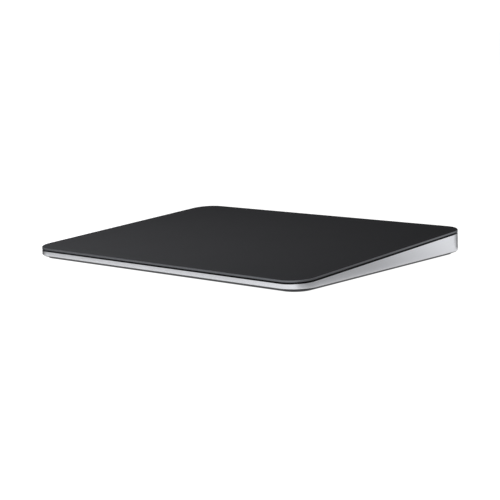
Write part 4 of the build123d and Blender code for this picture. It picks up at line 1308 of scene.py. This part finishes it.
def rooms(node: str, lie: Lie = Lie.LEVEL) -> list[Room]:
    """Finds the box of each separate solid of a CAD node.

    Vertices at one place are first joined. Then each face gives its three corners the lowest label
    among them, over and over, until every solid has one label.

    Args:
        node: the CAD node.
        lie: the axes that the boxes follow.

    Returns:
        The boxes, in order of their middles.
    """
    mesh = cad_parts[node].data
    mesh.calc_loop_triangles()
    corners = np.zeros(len(mesh.vertices) * 3)
    mesh.vertices.foreach_get("co", corners)
    triangles = np.zeros(len(mesh.loop_triangles) * 3, int)
    mesh.loop_triangles.foreach_get("vertices", triangles)
    places, joined = np.unique(
        np.round(corners.reshape(-1, 3), JOIN_DIGITS), axis=0, return_inverse=True,
    )
    triangles = joined.reshape(-1)[triangles].reshape(-1, 3)
    labels = np.arange(len(places))
    while True:
        fresh = labels.copy()
        np.minimum.at(fresh, triangles.reshape(-1), np.repeat(labels[triangles].min(1), 3))
        if (fresh == labels).all():
            break
        labels = fresh
    local = places @ lie.axes().T
    solids = [local[labels == label] for label in np.unique(labels)]
    found = [Room(solid.min(0), solid.max(0), lie) for solid in solids]
    return sorted(found, key=lambda room: tuple(np.round(room.middle, ORDER_DIGITS)))


# Shapes of small parts


@dataclass(frozen=True)
class ScrewShape:
    """A small pan-head screw with a six-lobed recess and a rolled thread.

    Each row of the recess has its share of the lobes, of the width and of the depth.
    """

    head_height: float = 0.35 * MM
    head_round: float = 0.12 * MM
    chamfer: float = 0.05 * MM
    shank_radius: float = 0.6 * MM
    tip_share: float = 0.7
    thread_depth: float = 0.08 * MM
    thread_pitch: float = 0.25 * MM
    thread_rows: int = 10
    least_rows: int = 8
    rim_rows: int = 5
    recess_radius: float = 0.5 * MM
    recess_lobe: float = 0.11 * MM
    recess_depth: float = 0.22 * MM
    recess: tuple[tuple[float, float, float], ...] = (
        (0.6, 1.08, 0.0), (1.0, 1.0, 0.12), (1.0, 0.96, 1.0), (1.0, 0.3, 1.0),
    )
    lobes: int = 6
    columns: int = 48

    def skin(self, room: Room, head: Facing) -> Skin:
        """Builds one screw that fills its room.

        One grid runs from the tip up the shank, out under the head, over its rounded rim and down
        into the recess. On the shank the radius goes in and out by the thread's depth as a
        triangle wave of height over pitch less angle over a turn. In the recess the radius is less
        by the lobe times one plus the cosine of six times the angle, times the row's share.

        Args:
            room: the CAD screw's box.
            head: which way its head points.

        Returns:
            The skin, in the shared frame.
        """
        length, head_radius = room.size[Axis.Z], room.size[Axis.X] / 2
        grip = length - self.head_height
        angle = np.linspace(0, TURN, self.columns, endpoint=False)[None]
        rows = max(self.least_rows, int(self.thread_rows * grip / self.thread_pitch))
        levels = np.linspace(0, grip, rows)[:, None]
        phase = (levels / self.thread_pitch - angle / TURN) % 1.0
        fade = np.clip(np.minimum(levels, grip - levels) / self.thread_pitch, 0, 1)
        thread = self.shank_radius - self.thread_depth * fade * np.abs(2 * phase - 1)
        rim = quarter(self.rim_rows)[:, None]
        under = np.full((1, self.columns), head_radius - self.chamfer)
        side = head_radius - self.head_round * (1 - np.cos(rim)) + 0 * angle
        side_level = length - self.head_round * (1 - np.sin(rim))
        swell, width, depth = np.array(self.recess).T[..., None]
        lobe = 1 + np.cos(self.lobes * angle)
        mouth = (self.recess_radius - self.recess_lobe * lobe * swell) * width
        radius = np.concatenate([thread[:1] * self.tip_share, thread, under, side, mouth])
        shank = levels + self.chamfer * (levels == 0)
        level = np.concatenate([[[0.0]], shank, [[grip]], side_level, length - self.recess_depth * depth])
        rings = points(radius * np.cos(angle), radius * np.sin(angle), level)
        if head is Facing.DOWN:
            rings = rings * (1, -1, -1) + (0, 0, length)
        return room.seated(Skin.tube(rings))


@dataclass(frozen=True)
class ChipShape:
    """A moulded chip package with metal lands along its lower edges."""

    edge_round: float = 0.06 * MM
    body_inset: float = 0.03 * MM
    land_width: float = 0.24 * MM
    land_height: float = 0.12 * MM
    land_depth: float = 0.2 * MM
    land_round: float = 0.02 * MM
    land_points: int = 2
    land_pitch: float = 0.5 * MM
    land_margin: float = 0.6 * MM

    def body(self, room: Room) -> Skin:
        """The moulded body of a chip, which keeps the inset from the sides of its room."""
        sizes = room.size - 2 * self.body_inset * np.array([1, 1, 0])
        return room.seated(Block(*sizes, self.edge_round, self.edge_round).skin())

    def lands(self, room: Room, facing: Facing) -> Skin:
        """The lands along the four sides, evenly spaced between the margins.

        Args:
            room: the CAD chip's box.
            facing: up on top of a board and down under it.

        Returns:
            The skin, in the shared frame.
        """
        base = room.size[Axis.Z] - self.land_height if facing is Facing.DOWN else 0.0
        spread = row(room.size[Axis.X], self.land_margin, self.land_pitch)
        skins = []
        for axis in (Axis.X, Axis.Y):
            size = [self.land_width, self.land_width]
            size[axis] = self.land_depth
            block = Block(*size, self.land_height, self.land_round, self.land_round, self.land_points)
            land = block.skin(base)
            for side in (-1, 1):
                edge = side * (room.size[axis] - self.land_depth) / 2
                places = points(edge, spread, 0.0) if axis is Axis.X else points(spread, edge, 0.0)
                skins.append(land.repeated(places))
        return room.seated(Skin.joined(skins))


@dataclass(frozen=True)
class SocketShape:
    """What a cable socket has besides its tray: solder tails and a bar that holds the cable in."""

    tail: Block = Block(0.34 * MM, 0.14 * MM, 0.12 * MM, corner=0.04 * MM, bevel=0.04 * MM, corner_points=3)
    tail_inside: float = 0.14 * MM
    tail_pitch: float = 0.4 * MM
    tail_margin: float = 0.5 * MM
    edge_round: float = 0.04 * MM
    tray_height: float = 0.6 * MM
    cable_top: float = 0.75 * MM
    gap: float = 0.02 * MM
    bar_depth: float = 0.7 * MM
    bar_height: float = 0.22 * MM
    bar_setback: float = 0.2 * MM
    foot_width: float = 0.28 * MM

    @staticmethod
    def mouth(socket: Room, board: Room) -> Array:
        """Direction in which a socket's cable leaves it: to the nearest edge of its board.

        Args:
            socket: the socket's box.
            board: the board's box.

        Returns:
            The direction, along X or Y.
        """
        gaps = np.array([socket.middle - board.low, board.high - socket.middle])[:, :2]
        side, axis = np.unravel_index(gaps.argmin(), gaps.shape)
        return np.eye(3)[axis] * (2 * side - 1)

    @staticmethod
    def seated(skin: Skin, room: Room, mouth: Array, facing: Facing = Facing.UP) -> Skin:
        """Turns a skin that stands on a board with its cable along X, and sets it at a socket.

        Args:
            skin: the skin, about the middle of the socket's base.
            room: the socket's box.
            mouth: direction of its cable.
            facing: up on top of a board and down under it.

        Returns:
            The skin, in the shared frame.
        """
        rise = np.array([0.0, 0.0, float(facing.value)])
        return room.seated(skin.turned(np.array([mouth, np.cross(rise, mouth), rise])), facing)

    @staticmethod
    def spans(room: Room, mouth: Array) -> tuple[float, float]:
        """Depth of a socket along its cable and width across it."""
        along = int(abs(mouth[Axis.Y]))
        return room.size[along], room.size[1 - along]

    def tails(self, room: Room, mouth: Array, facing: Facing = Facing.UP) -> Skin:
        """The solder tails, in a row along the side that faces away from the cable.

        Args:
            room: the socket's box.
            mouth: direction of its cable.
            facing: up on top of a board and down under it.

        Returns:
            The skin, in the shared frame.
        """
        depth, width = self.spans(room, mouth)
        back = self.tail_inside - (depth + self.tail.length) / 2
        places = points(back, row(width, self.tail_margin, self.tail_pitch), 0.0)
        return self.seated(self.tail.skin().repeated(places), room, mouth, facing)

    def bar(self, room: Room, mouth: Array) -> Skin:
        """The bar across the cable, with a foot on the tray's wall at each end.

        Args:
            room: the socket's box.
            mouth: direction of its cable.

        Returns:
            The skin, in the shared frame.
        """
        depth, width = self.spans(room, mouth)
        middle = depth / 2 - self.bar_setback - self.bar_depth / 2
        low, tray = self.cable_top + self.gap, self.tray_height - self.gap
        bar = Block(self.bar_depth, width - self.gap, self.bar_height, 2 * self.edge_round, self.edge_round)
        rise = low - tray + self.edge_round
        foot = Block(self.bar_depth - self.gap, self.foot_width, rise, self.edge_round, self.gap)
        shift = (width - self.gap - self.foot_width) / 2
        feet = foot.skin(tray).repeated([(0.0, shift, 0.0), (0.0, -shift, 0.0)])
        return self.seated(Skin.joined([bar.skin(low), feet]).moved((middle, 0, 0)), room, mouth)


# Sub-assemblies


@dataclass
class SubAssembly:
    """A group of pieces that are built and dressed together. LOOKS has the finishes of its CAD nodes."""

    body: str = "case"
    LOOKS: ClassVar[Mapping[str, Finish]] = {}

    def dress(self) -> None:
        """Gives the group's CAD nodes their finishes."""
        for name, finish in self.LOOKS.items():
            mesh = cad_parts[name].data
            mesh.materials.clear()
            mesh.materials.append(finish.material())
            LOG.info("dressed %s with %s", name, finish.name)

    def piece(self, name: str, skin: Skin, finish: Finish, slot: str, *nodes: str) -> bpy.types.Object:
        """Adds one piece to the scene.

        Args:
            name: the piece's name.
            skin: its surface, in the shared frame.
            finish: its finish.
            slot: the record's material slot that it belongs to; not used.
            nodes: CAD nodes that it stands for.

        Returns:
            The piece's object.
        """
        made = placed(name, skin.mesh(name))
        made.data.materials.append(finish.material())
        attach(made, self.body)
        if nodes:
            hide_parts(*nodes)
        LOG.info("built %s with %d faces", name, len(made.data.polygons))
        return made

    def pieces(self) -> None:
        """Builds the group's own pieces, if it has any."""

    def build(self) -> None:
        """Dresses the CAD nodes and builds the pieces."""
        self.dress()
        self.pieces()


@dataclass
class Screws(SubAssembly):
    """All the screws of one CAD node."""

    node: str = ""
    lie: Lie = Lie.LEVEL
    head: Facing = Facing.UP
    shape: ScrewShape = ScrewShape()

    def pieces(self) -> None:
        """Builds a screw for each one of the node."""
        skins = [self.shape.skin(room, self.head) for room in rooms(self.node, self.lie)]
        self.piece(f"{self.node}_fine", Skin.joined(skins), SCREW, "screw_steel", self.node)


@dataclass
class CaseShell(SubAssembly):
    """The machined tray."""

    LOOKS = {"case_shell": ALUMINIUM}


@dataclass
class Feet(SubAssembly):
    """Four moulded rubber feet with fine rings on the face that stands on the desk."""

    names: tuple[str, ...] = ("front_left", "front_right", "rear_left", "rear_right")
    edge_round: float = 0.35 * MM
    edge_rows: int = 7
    chamfer: float = 0.05 * MM
    pole: float = 0.02 * MM
    dish: float = 0.06 * MM
    land: float = 0.9 * MM
    ring_pitch: float = 0.5 * MM
    ring_depth: float = 0.06 * MM
    steps: int = 64
    columns: int = 72

    def profile(self, radius: float, height: float) -> Array:
        """Half section of a foot.

        The underside is a shallow dish inside a land, with grooves as the square of a sine of the
        radius. Its level rises by the dish's depth times one less the square of radius over dish
        radius. A quarter circle joins it to the side.

        Args:
            radius: radius of the foot.
            height: height of the foot.

        Returns:
            Rows of radius and height.
        """
        flat = radius - self.edge_round
        across = np.linspace(self.pole, flat, self.steps)
        inner = flat - self.land
        dish = self.dish * np.clip(1 - (across / inner) ** 2, 0, 1)
        groove = self.ring_depth * np.sin(math.pi * across / self.ring_pitch) ** 2 * (across < inner)
        angle = quarter(self.edge_rows)[1:]
        edge = points(flat + self.edge_round * np.sin(angle), self.edge_round * (1 - np.cos(angle)))
        top = [(radius, height - self.chamfer), (radius - self.chamfer, height), (radius / 2, height)]
        return np.concatenate([points(across, dish + groove), edge, top])

    def pieces(self) -> None:
        """Builds the feet."""
        for name in self.names:
            node = f"foot_{name}"
            room = rooms(node)[0]
            skin = turned_skin(self.profile(room.size[Axis.X] / 2, room.size[Axis.Z]), self.columns)
            self.piece(f"{node}_fine", room.seated(skin), RUBBER, "foot_rubber", node)


@dataclass
class LoadedBoard(SubAssembly):
    """A circuit board with chips and sockets."""

    chip: ChipShape = ChipShape()
    socket: SocketShape = SocketShape()

    def chips(self, node: str, lands: str, lie: Lie, facing: Facing) -> None:
        """Builds the bodies and the lands of all the chips of one node.

        Args:
            node: the CAD node.
            lands: name of the piece with the lands.
            lie: how the chips lie.
            facing: up on top of a board and down under it.
        """
        found = rooms(node, lie)
        bodies = Skin.joined(self.chip.body(room) for room in found)
        self.piece(f"{node}_fine", bodies, PACKAGE, "chip_package", node)
        skin = Skin.joined(self.chip.lands(room, facing) for room in found)
        self.piece(lands, skin, SOLDER, "tab_nickel")


@dataclass
class LogicBoard(LoadedBoard):
    """The main board with its chips, shield, sockets and small parts.

    A row of small parts has its first middle in X and Y, its count and its pitch, in millimetres.
    """

    LOOKS = {"logic_board": BOARD, "board_sockets": CONNECTOR, "radio_shield": STAMPED}

    small_length: float = 1.0 * MM
    core: Block = Block(0.52 * MM, 0.47 * MM, 0.423 * MM, corner=0.02 * MM, bevel=0.03 * MM, corner_points=2)
    core_base: float = 0.0135 * MM
    cap: Block = Block(0.24 * MM, 0.5 * MM, 0.45 * MM, corner=0.05 * MM, bevel=0.05 * MM, corner_points=3)
    coil: Block = Block(2.0 * MM, 1.6 * MM, 0.9 * MM, corner=0.35 * MM, bevel=0.12 * MM, corner_points=5)
    small_rows: tuple[tuple[float, float, int, float], ...] = (
        (-63.0, 8.4, 8, 1.15), (-63.0, 9.9, 7, 1.3), (-64.5, -4.6, 10, 1.2), (-66.2, -7.2, 4, 1.4),
        (-66.2, -9.4, 8, 1.4), (-60.0, -12.2, 6, 1.4), (-50.6, 9.6, 4, 1.3), (-43.6, 9.6, 4, 1.3),
        (-51.0, 1.2, 7, 1.25), (-60.0, -15.6, 9, 1.5),
    )
    coil_places: tuple[tuple[float, float], ...] = ((-45.0, 7.4), (-45.0, 3.9), (-37.6, 5.8))

    def pieces(self) -> None:
        """Builds the chips, the small parts and what the sockets have."""
        self.chips("logic_chips", "logic_chip_lands", Lie.LEVEL, Facing.UP)
        self.small_parts()
        self.socket_parts()

    def small_parts(self) -> None:
        """Builds the capacitors, with their end caps, and the power coils."""
        places = np.concatenate([
            points((x + np.arange(count) * pitch) * MM, y * MM, BOARD_TOP)
            for x, y, count, pitch in self.small_rows
        ])
        cores = self.core.skin(self.core_base).repeated(places)
        self.piece("small_part_bodies", cores, CERAMIC, "chip_package")
        shift = np.array([(self.small_length - self.cap.length) / 2, 0, 0])
        ends = self.cap.skin().repeated(np.concatenate([places + shift, places - shift]))
        self.piece("small_part_ends", ends, SOLDER, "tab_nickel")
        spots = [(x * MM, y * MM, BOARD_TOP) for x, y in self.coil_places]
        self.piece("power_coils", self.coil.skin().repeated(spots), FERRITE, "mass_metal")

    def socket_parts(self) -> None:
        """Builds the sockets' solder tails and the bars over their cables."""
        board = rooms("logic_board")[0]
        found = [(room, self.socket.mouth(room, board)) for room in rooms("board_sockets")]
        tails = Skin.joined(self.socket.tails(room, mouth) for room, mouth in found)
        self.piece("board_socket_tails", tails, SOLDER, "tab_nickel")
        bars = Skin.joined(self.socket.bar(room, mouth) for room, mouth in found)
        self.piece("board_socket_bars", bars, IVORY, "connector_plastic")


@dataclass
class TouchPlate(LoadedBoard):
    """The glass with all that is bonded under it."""

    LOOKS = {
        "touch_glass": GLASS, "rim_seal": GASKET, "glass_adhesive": ADHESIVE, "sensor_board": BOARD,
        "stiffener_plate": STAMPED, "touch_socket": CONNECTOR, "flexure_pads": SILICONE,
    }

    body: str = "touch_plate"
    mouth: Point = (0.0, -1.0, 0.0)

    def pieces(self) -> None:
        """Builds the touch controllers and the socket's tails, which hang under the sensor board."""
        self.chips("touch_controllers", "touch_controller_lands", Lie.TILTED, Facing.DOWN)
        tails = self.socket.tails(rooms("touch_socket", Lie.TILTED)[0], np.array(self.mouth), Facing.DOWN)
        self.piece("touch_socket_tails", tails, SOLDER, "tab_nickel")


@dataclass
class Flexures(SubAssembly):
    """The spring arms at the corners with their strain gauges and cables."""

    LOOKS = {
        **{f"flexure_{end}_{side}": SPRING for end in ("front", "rear") for side in ("left", "right")},
        "strain_gauges": FILMS["strain_gauges"], "gauge_cable_left": FILMS["gauge_cable_left"],
        "gauge_cable_right": FILMS["gauge_cable_right"], "touch_cable": FILMS["touch_cable"],
    }


@dataclass
class HapticEngine(SubAssembly):
    """The engine's tray, cover, leaves and wound coil."""

    LOOKS = {
        "haptic_frame": STAMPED, "haptic_cover": STAMPED,
        "haptic_leaf_left": SPRING, "haptic_leaf_right": SPRING,
    }

    body: str = "touch_plate"
    wire: float = 0.24 * MM
    layers: int = 2
    turns: int = 13
    band: float = 3.4 * MM
    arc_points: int = 14
    section_points: int = 8

    def winding(self, room: Room) -> Skin:
        """Winds the coil so that it fills its room.

        Each layer is one spiral round a racetrack. Its points lie one radius from the nearer end
        centre of the track, in the direction of the angle, and that radius shrinks evenly with
        the angle from the outer to the inner turn.

        Args:
            room: the CAD coil's box.

        Returns:
            The skin, in the shared frame.
        """
        arc = np.linspace(-RIGHT_ANGLE, RIGHT_ANGLE, self.arc_points)
        turn = np.concatenate([arc, arc + math.pi])
        angle = (turn + TURN * np.arange(self.turns)[:, None]).reshape(-1)
        side = np.tile(np.repeat([1.0, -1.0], self.arc_points), self.turns)
        outer = room.size[Axis.Y] / 2 - self.wire / 2
        inner = outer - self.band + self.wire
        radius = outer + (inner - outer) * (angle + RIGHT_ANGLE) / (TURN * self.turns)
        centre = side * (room.size[Axis.X] - room.size[Axis.Y]) / 2
        flat = points(centre + radius * np.cos(angle), radius * np.sin(angle), 0.0)
        layer = swept_skin(flat, circle(self.section_points) * self.wire / 2)
        levels = room.size[Axis.Z] * (np.arange(self.layers) + 0.5) / self.layers
        return room.seated(layer.repeated(points(0.0, 0.0, levels)))

    def pieces(self) -> None:
        """Builds the wound coil."""
        room = rooms("haptic_coil", Lie.TILTED)[0]
        self.piece("haptic_coil_fine", self.winding(room), COPPER, "coil_copper", "haptic_coil")


@dataclass
class HapticMass(SubAssembly):
    """The moving block of the engine with its magnets."""

    LOOKS = {"haptic_mass": HEAVY, "haptic_magnets": NICKEL}

    body: str = "haptic_slider"


@dataclass
class Battery(SubAssembly):
    """Two pouch cells with their protection board and lead."""

    LOOKS = {
        "battery_adhesive": ADHESIVE, "battery_guard": GUARD_BOARD, "battery_tabs": STRIP,
        "battery_cable": FILMS["battery_cable"],
    }

    edge_round: float = 1.1 * MM
    edge_rows: int = 6
    corner_round: float = 1.6 * MM
    corner_points: int = 7
    crown: float = 0.16 * MM
    crown_reach: float = 0.5
    face_rows: int = 14
    face_power: float = 1.5
    pole: float = 0.05 * MM
    seal_step: float = 0.22 * MM
    seal_levels: tuple[float, float, float] = (0.34, 0.36, 0.4)
    overlap: float = 0.3 * MM
    terrace: float = 2.2 * MM
    terrace_inset: float = 1.6 * MM
    terrace_thickness: float = 0.34 * MM
    terrace_corner: float = 0.4 * MM
    terrace_bevel: float = 0.08 * MM
    terrace_points: int = 5
    tape_thickness: float = 0.06 * MM
    tape_shares: tuple[float, float, float] = (0.46, 0.86, 0.57)
    tape_corner: float = 0.1 * MM
    tape_bevel: float = 0.05 * MM
    tape_points: int = 3

    def pouch(self, room: Room) -> Skin:
        """The body of a cell, behind its terrace.

        Its faces swell by the crown times one less a sine of how far in they are. Its sides carry
        the folded seal as a step out at middle height.

        Args:
            room: the CAD cell's box.

        Returns:
            The skin, in the shared frame.
        """
        size = np.array([room.size[Axis.X], room.size[Axis.Y] - self.terrace + self.overlap])
        height = room.size[Axis.Z]
        reach = size[Axis.Y] / 2 - self.pole
        inset = np.linspace(0, 1, self.face_rows)[1:] ** self.face_power * (reach - self.edge_round)
        share = np.clip(inset / (reach * self.crown_reach), 0, 1)
        face = points(inset + self.edge_round, self.crown * (1 - np.sin(RIGHT_ANGLE * share)))
        angle = quarter(self.edge_rows)
        rounding = self.edge_round - self.seal_step
        edge = points(self.edge_round - rounding * np.sin(angle), self.crown + rounding * (1 - np.cos(angle)))
        seal = points((self.seal_step, 0.0, 0.0), height * np.array(self.seal_levels))
        bottom = np.concatenate([face[::-1], edge, seal])
        profile = np.concatenate([bottom, bottom[::-1] * (1, -1) + (0, height)])
        skin = slab_skin(size, self.corner_round, profile, self.corner_points)
        return skin.moved((room.middle[Axis.X], room.high[Axis.Y] - size[Axis.Y] / 2, room.low[Axis.Z]))

    def strip(self, block: Block, room: Room, share: float) -> Skin:
        """Sets a flat block at a cell's middle height, a share of the terrace behind its front."""
        level = room.middle[Axis.Z] - block.height / 2
        return block.skin(level).moved((room.middle[Axis.X], room.low[Axis.Y] + self.terrace * share, 0))

    def flange(self, room: Room) -> Skin:
        """The sealed terrace along the front of a cell.

        Args:
            room: the CAD cell's box.

        Returns:
            The skin, in the shared frame.
        """
        block = Block(
            room.size[Axis.X] - self.terrace_inset, self.terrace, self.terrace_thickness,
            self.terrace_corner, self.terrace_bevel, self.terrace_points,
        )
        return self.strip(block, room, 0.5)

    def tape(self, room: Room) -> Skin:
        """The film strip wrapped over the middle of the terrace.

        Args:
            room: the CAD cell's box.

        Returns:
            The skin, in the shared frame.
        """
        length, breadth, place = self.tape_shares
        height = self.terrace_thickness + 2 * self.tape_thickness
        block = Block(
            room.size[Axis.X] * length, self.terrace * breadth, height,
            self.tape_corner, self.tape_bevel, self.tape_points,
        )
        return self.strip(block, room, place)

    def pieces(self) -> None:
        """Builds the two cells and their tapes."""
        for side in Side:
            name = side.name.lower()
            node = f"battery_cell_{name}"
            room = rooms(node)[0]
            cell = Skin.joined([self.pouch(room), self.flange(room)])
            self.piece(f"{node}_fine", cell, POUCH, "cell_foil", node)
            self.piece(f"battery_tape_{name}", self.tape(room), TAPE, "cable_film")


@dataclass
class Antenna(SubAssembly):
    """The antenna film on its bar, and its coaxial lead."""

    LOOKS = {"antenna_bar": CONNECTOR, "antenna_element": COPPER}

    start_x: float = -24.9 * MM
    bend: float = 1.5 * MM
    sides: int = 20

    def pieces(self) -> None:
        """Builds the lead, from the antenna by the rear wall and the channel to under the board."""
        room = rooms("antenna_lead")[0]
        radius = room.size[Axis.Z] / 2
        (left, front, _), (right, rear, _) = room.low + radius, room.high - radius
        along = np.array([self.start_x, right, right, left - radius])
        corners = points(along, np.array([rear, rear, front, front]), room.middle[Axis.Z])
        skin = swept_skin(rounded_path(corners, self.bend), circle(self.sides) * radius)
        self.piece("antenna_lead_fine", skin, JACKET, "lead_jacket", "antenna_lead")


@dataclass
class ChargePort(SubAssembly):
    """The charging port on its board."""

    LOOKS = {
        "port_shell": DRAWN, "port_core": CONNECTOR, "port_contacts": GOLD, "port_board": BOARD,
        "port_strap": STAMPED, "charge_cable": FILMS["charge_cable"],
    }


@dataclass
class SwitchUnit(SubAssembly):
    """The fixed parts of the power switch."""

    LOOKS = {
        "switch_unit": CONNECTOR, "switch_board": BOARD, "switch_retainer": STAMPED,
        "switch_cable": FILMS["switch_cable"],
    }


@dataclass
class SwitchKnob(SubAssembly):
    """The sliding parts of the power switch."""

    LOOKS = {"switch_knob": KNOB, "switch_actuator": KNOB}

    body: str = "power_switch"


def main() -> None:
    """Builds the studio and then the sub-assemblies, from the case up."""
    logging.basicConfig(level=logging.INFO, format="%(name)s: %(message)s")
    Studio().build()
    groups: tuple[SubAssembly, ...] = (
        CaseShell(),
        Feet(),
        LogicBoard(),
        Battery(),
        Antenna(),
        ChargePort(),
        SwitchUnit(),
        SwitchKnob(),
        Flexures(),
        TouchPlate(),
        HapticEngine(),
        HapticMass(),
        Screws(node="logic_screws"),
        Screws(node="port_screws"),
        Screws(node="switch_screws"),
        Screws(node="flexure_screws", lie=Lie.TILTED),
        Screws(body="touch_plate", node="haptic_screws", lie=Lie.TILTED, head=Facing.DOWN),
    )
    for group in groups:
        group.build()


if __name__ == "__main__":
    main()
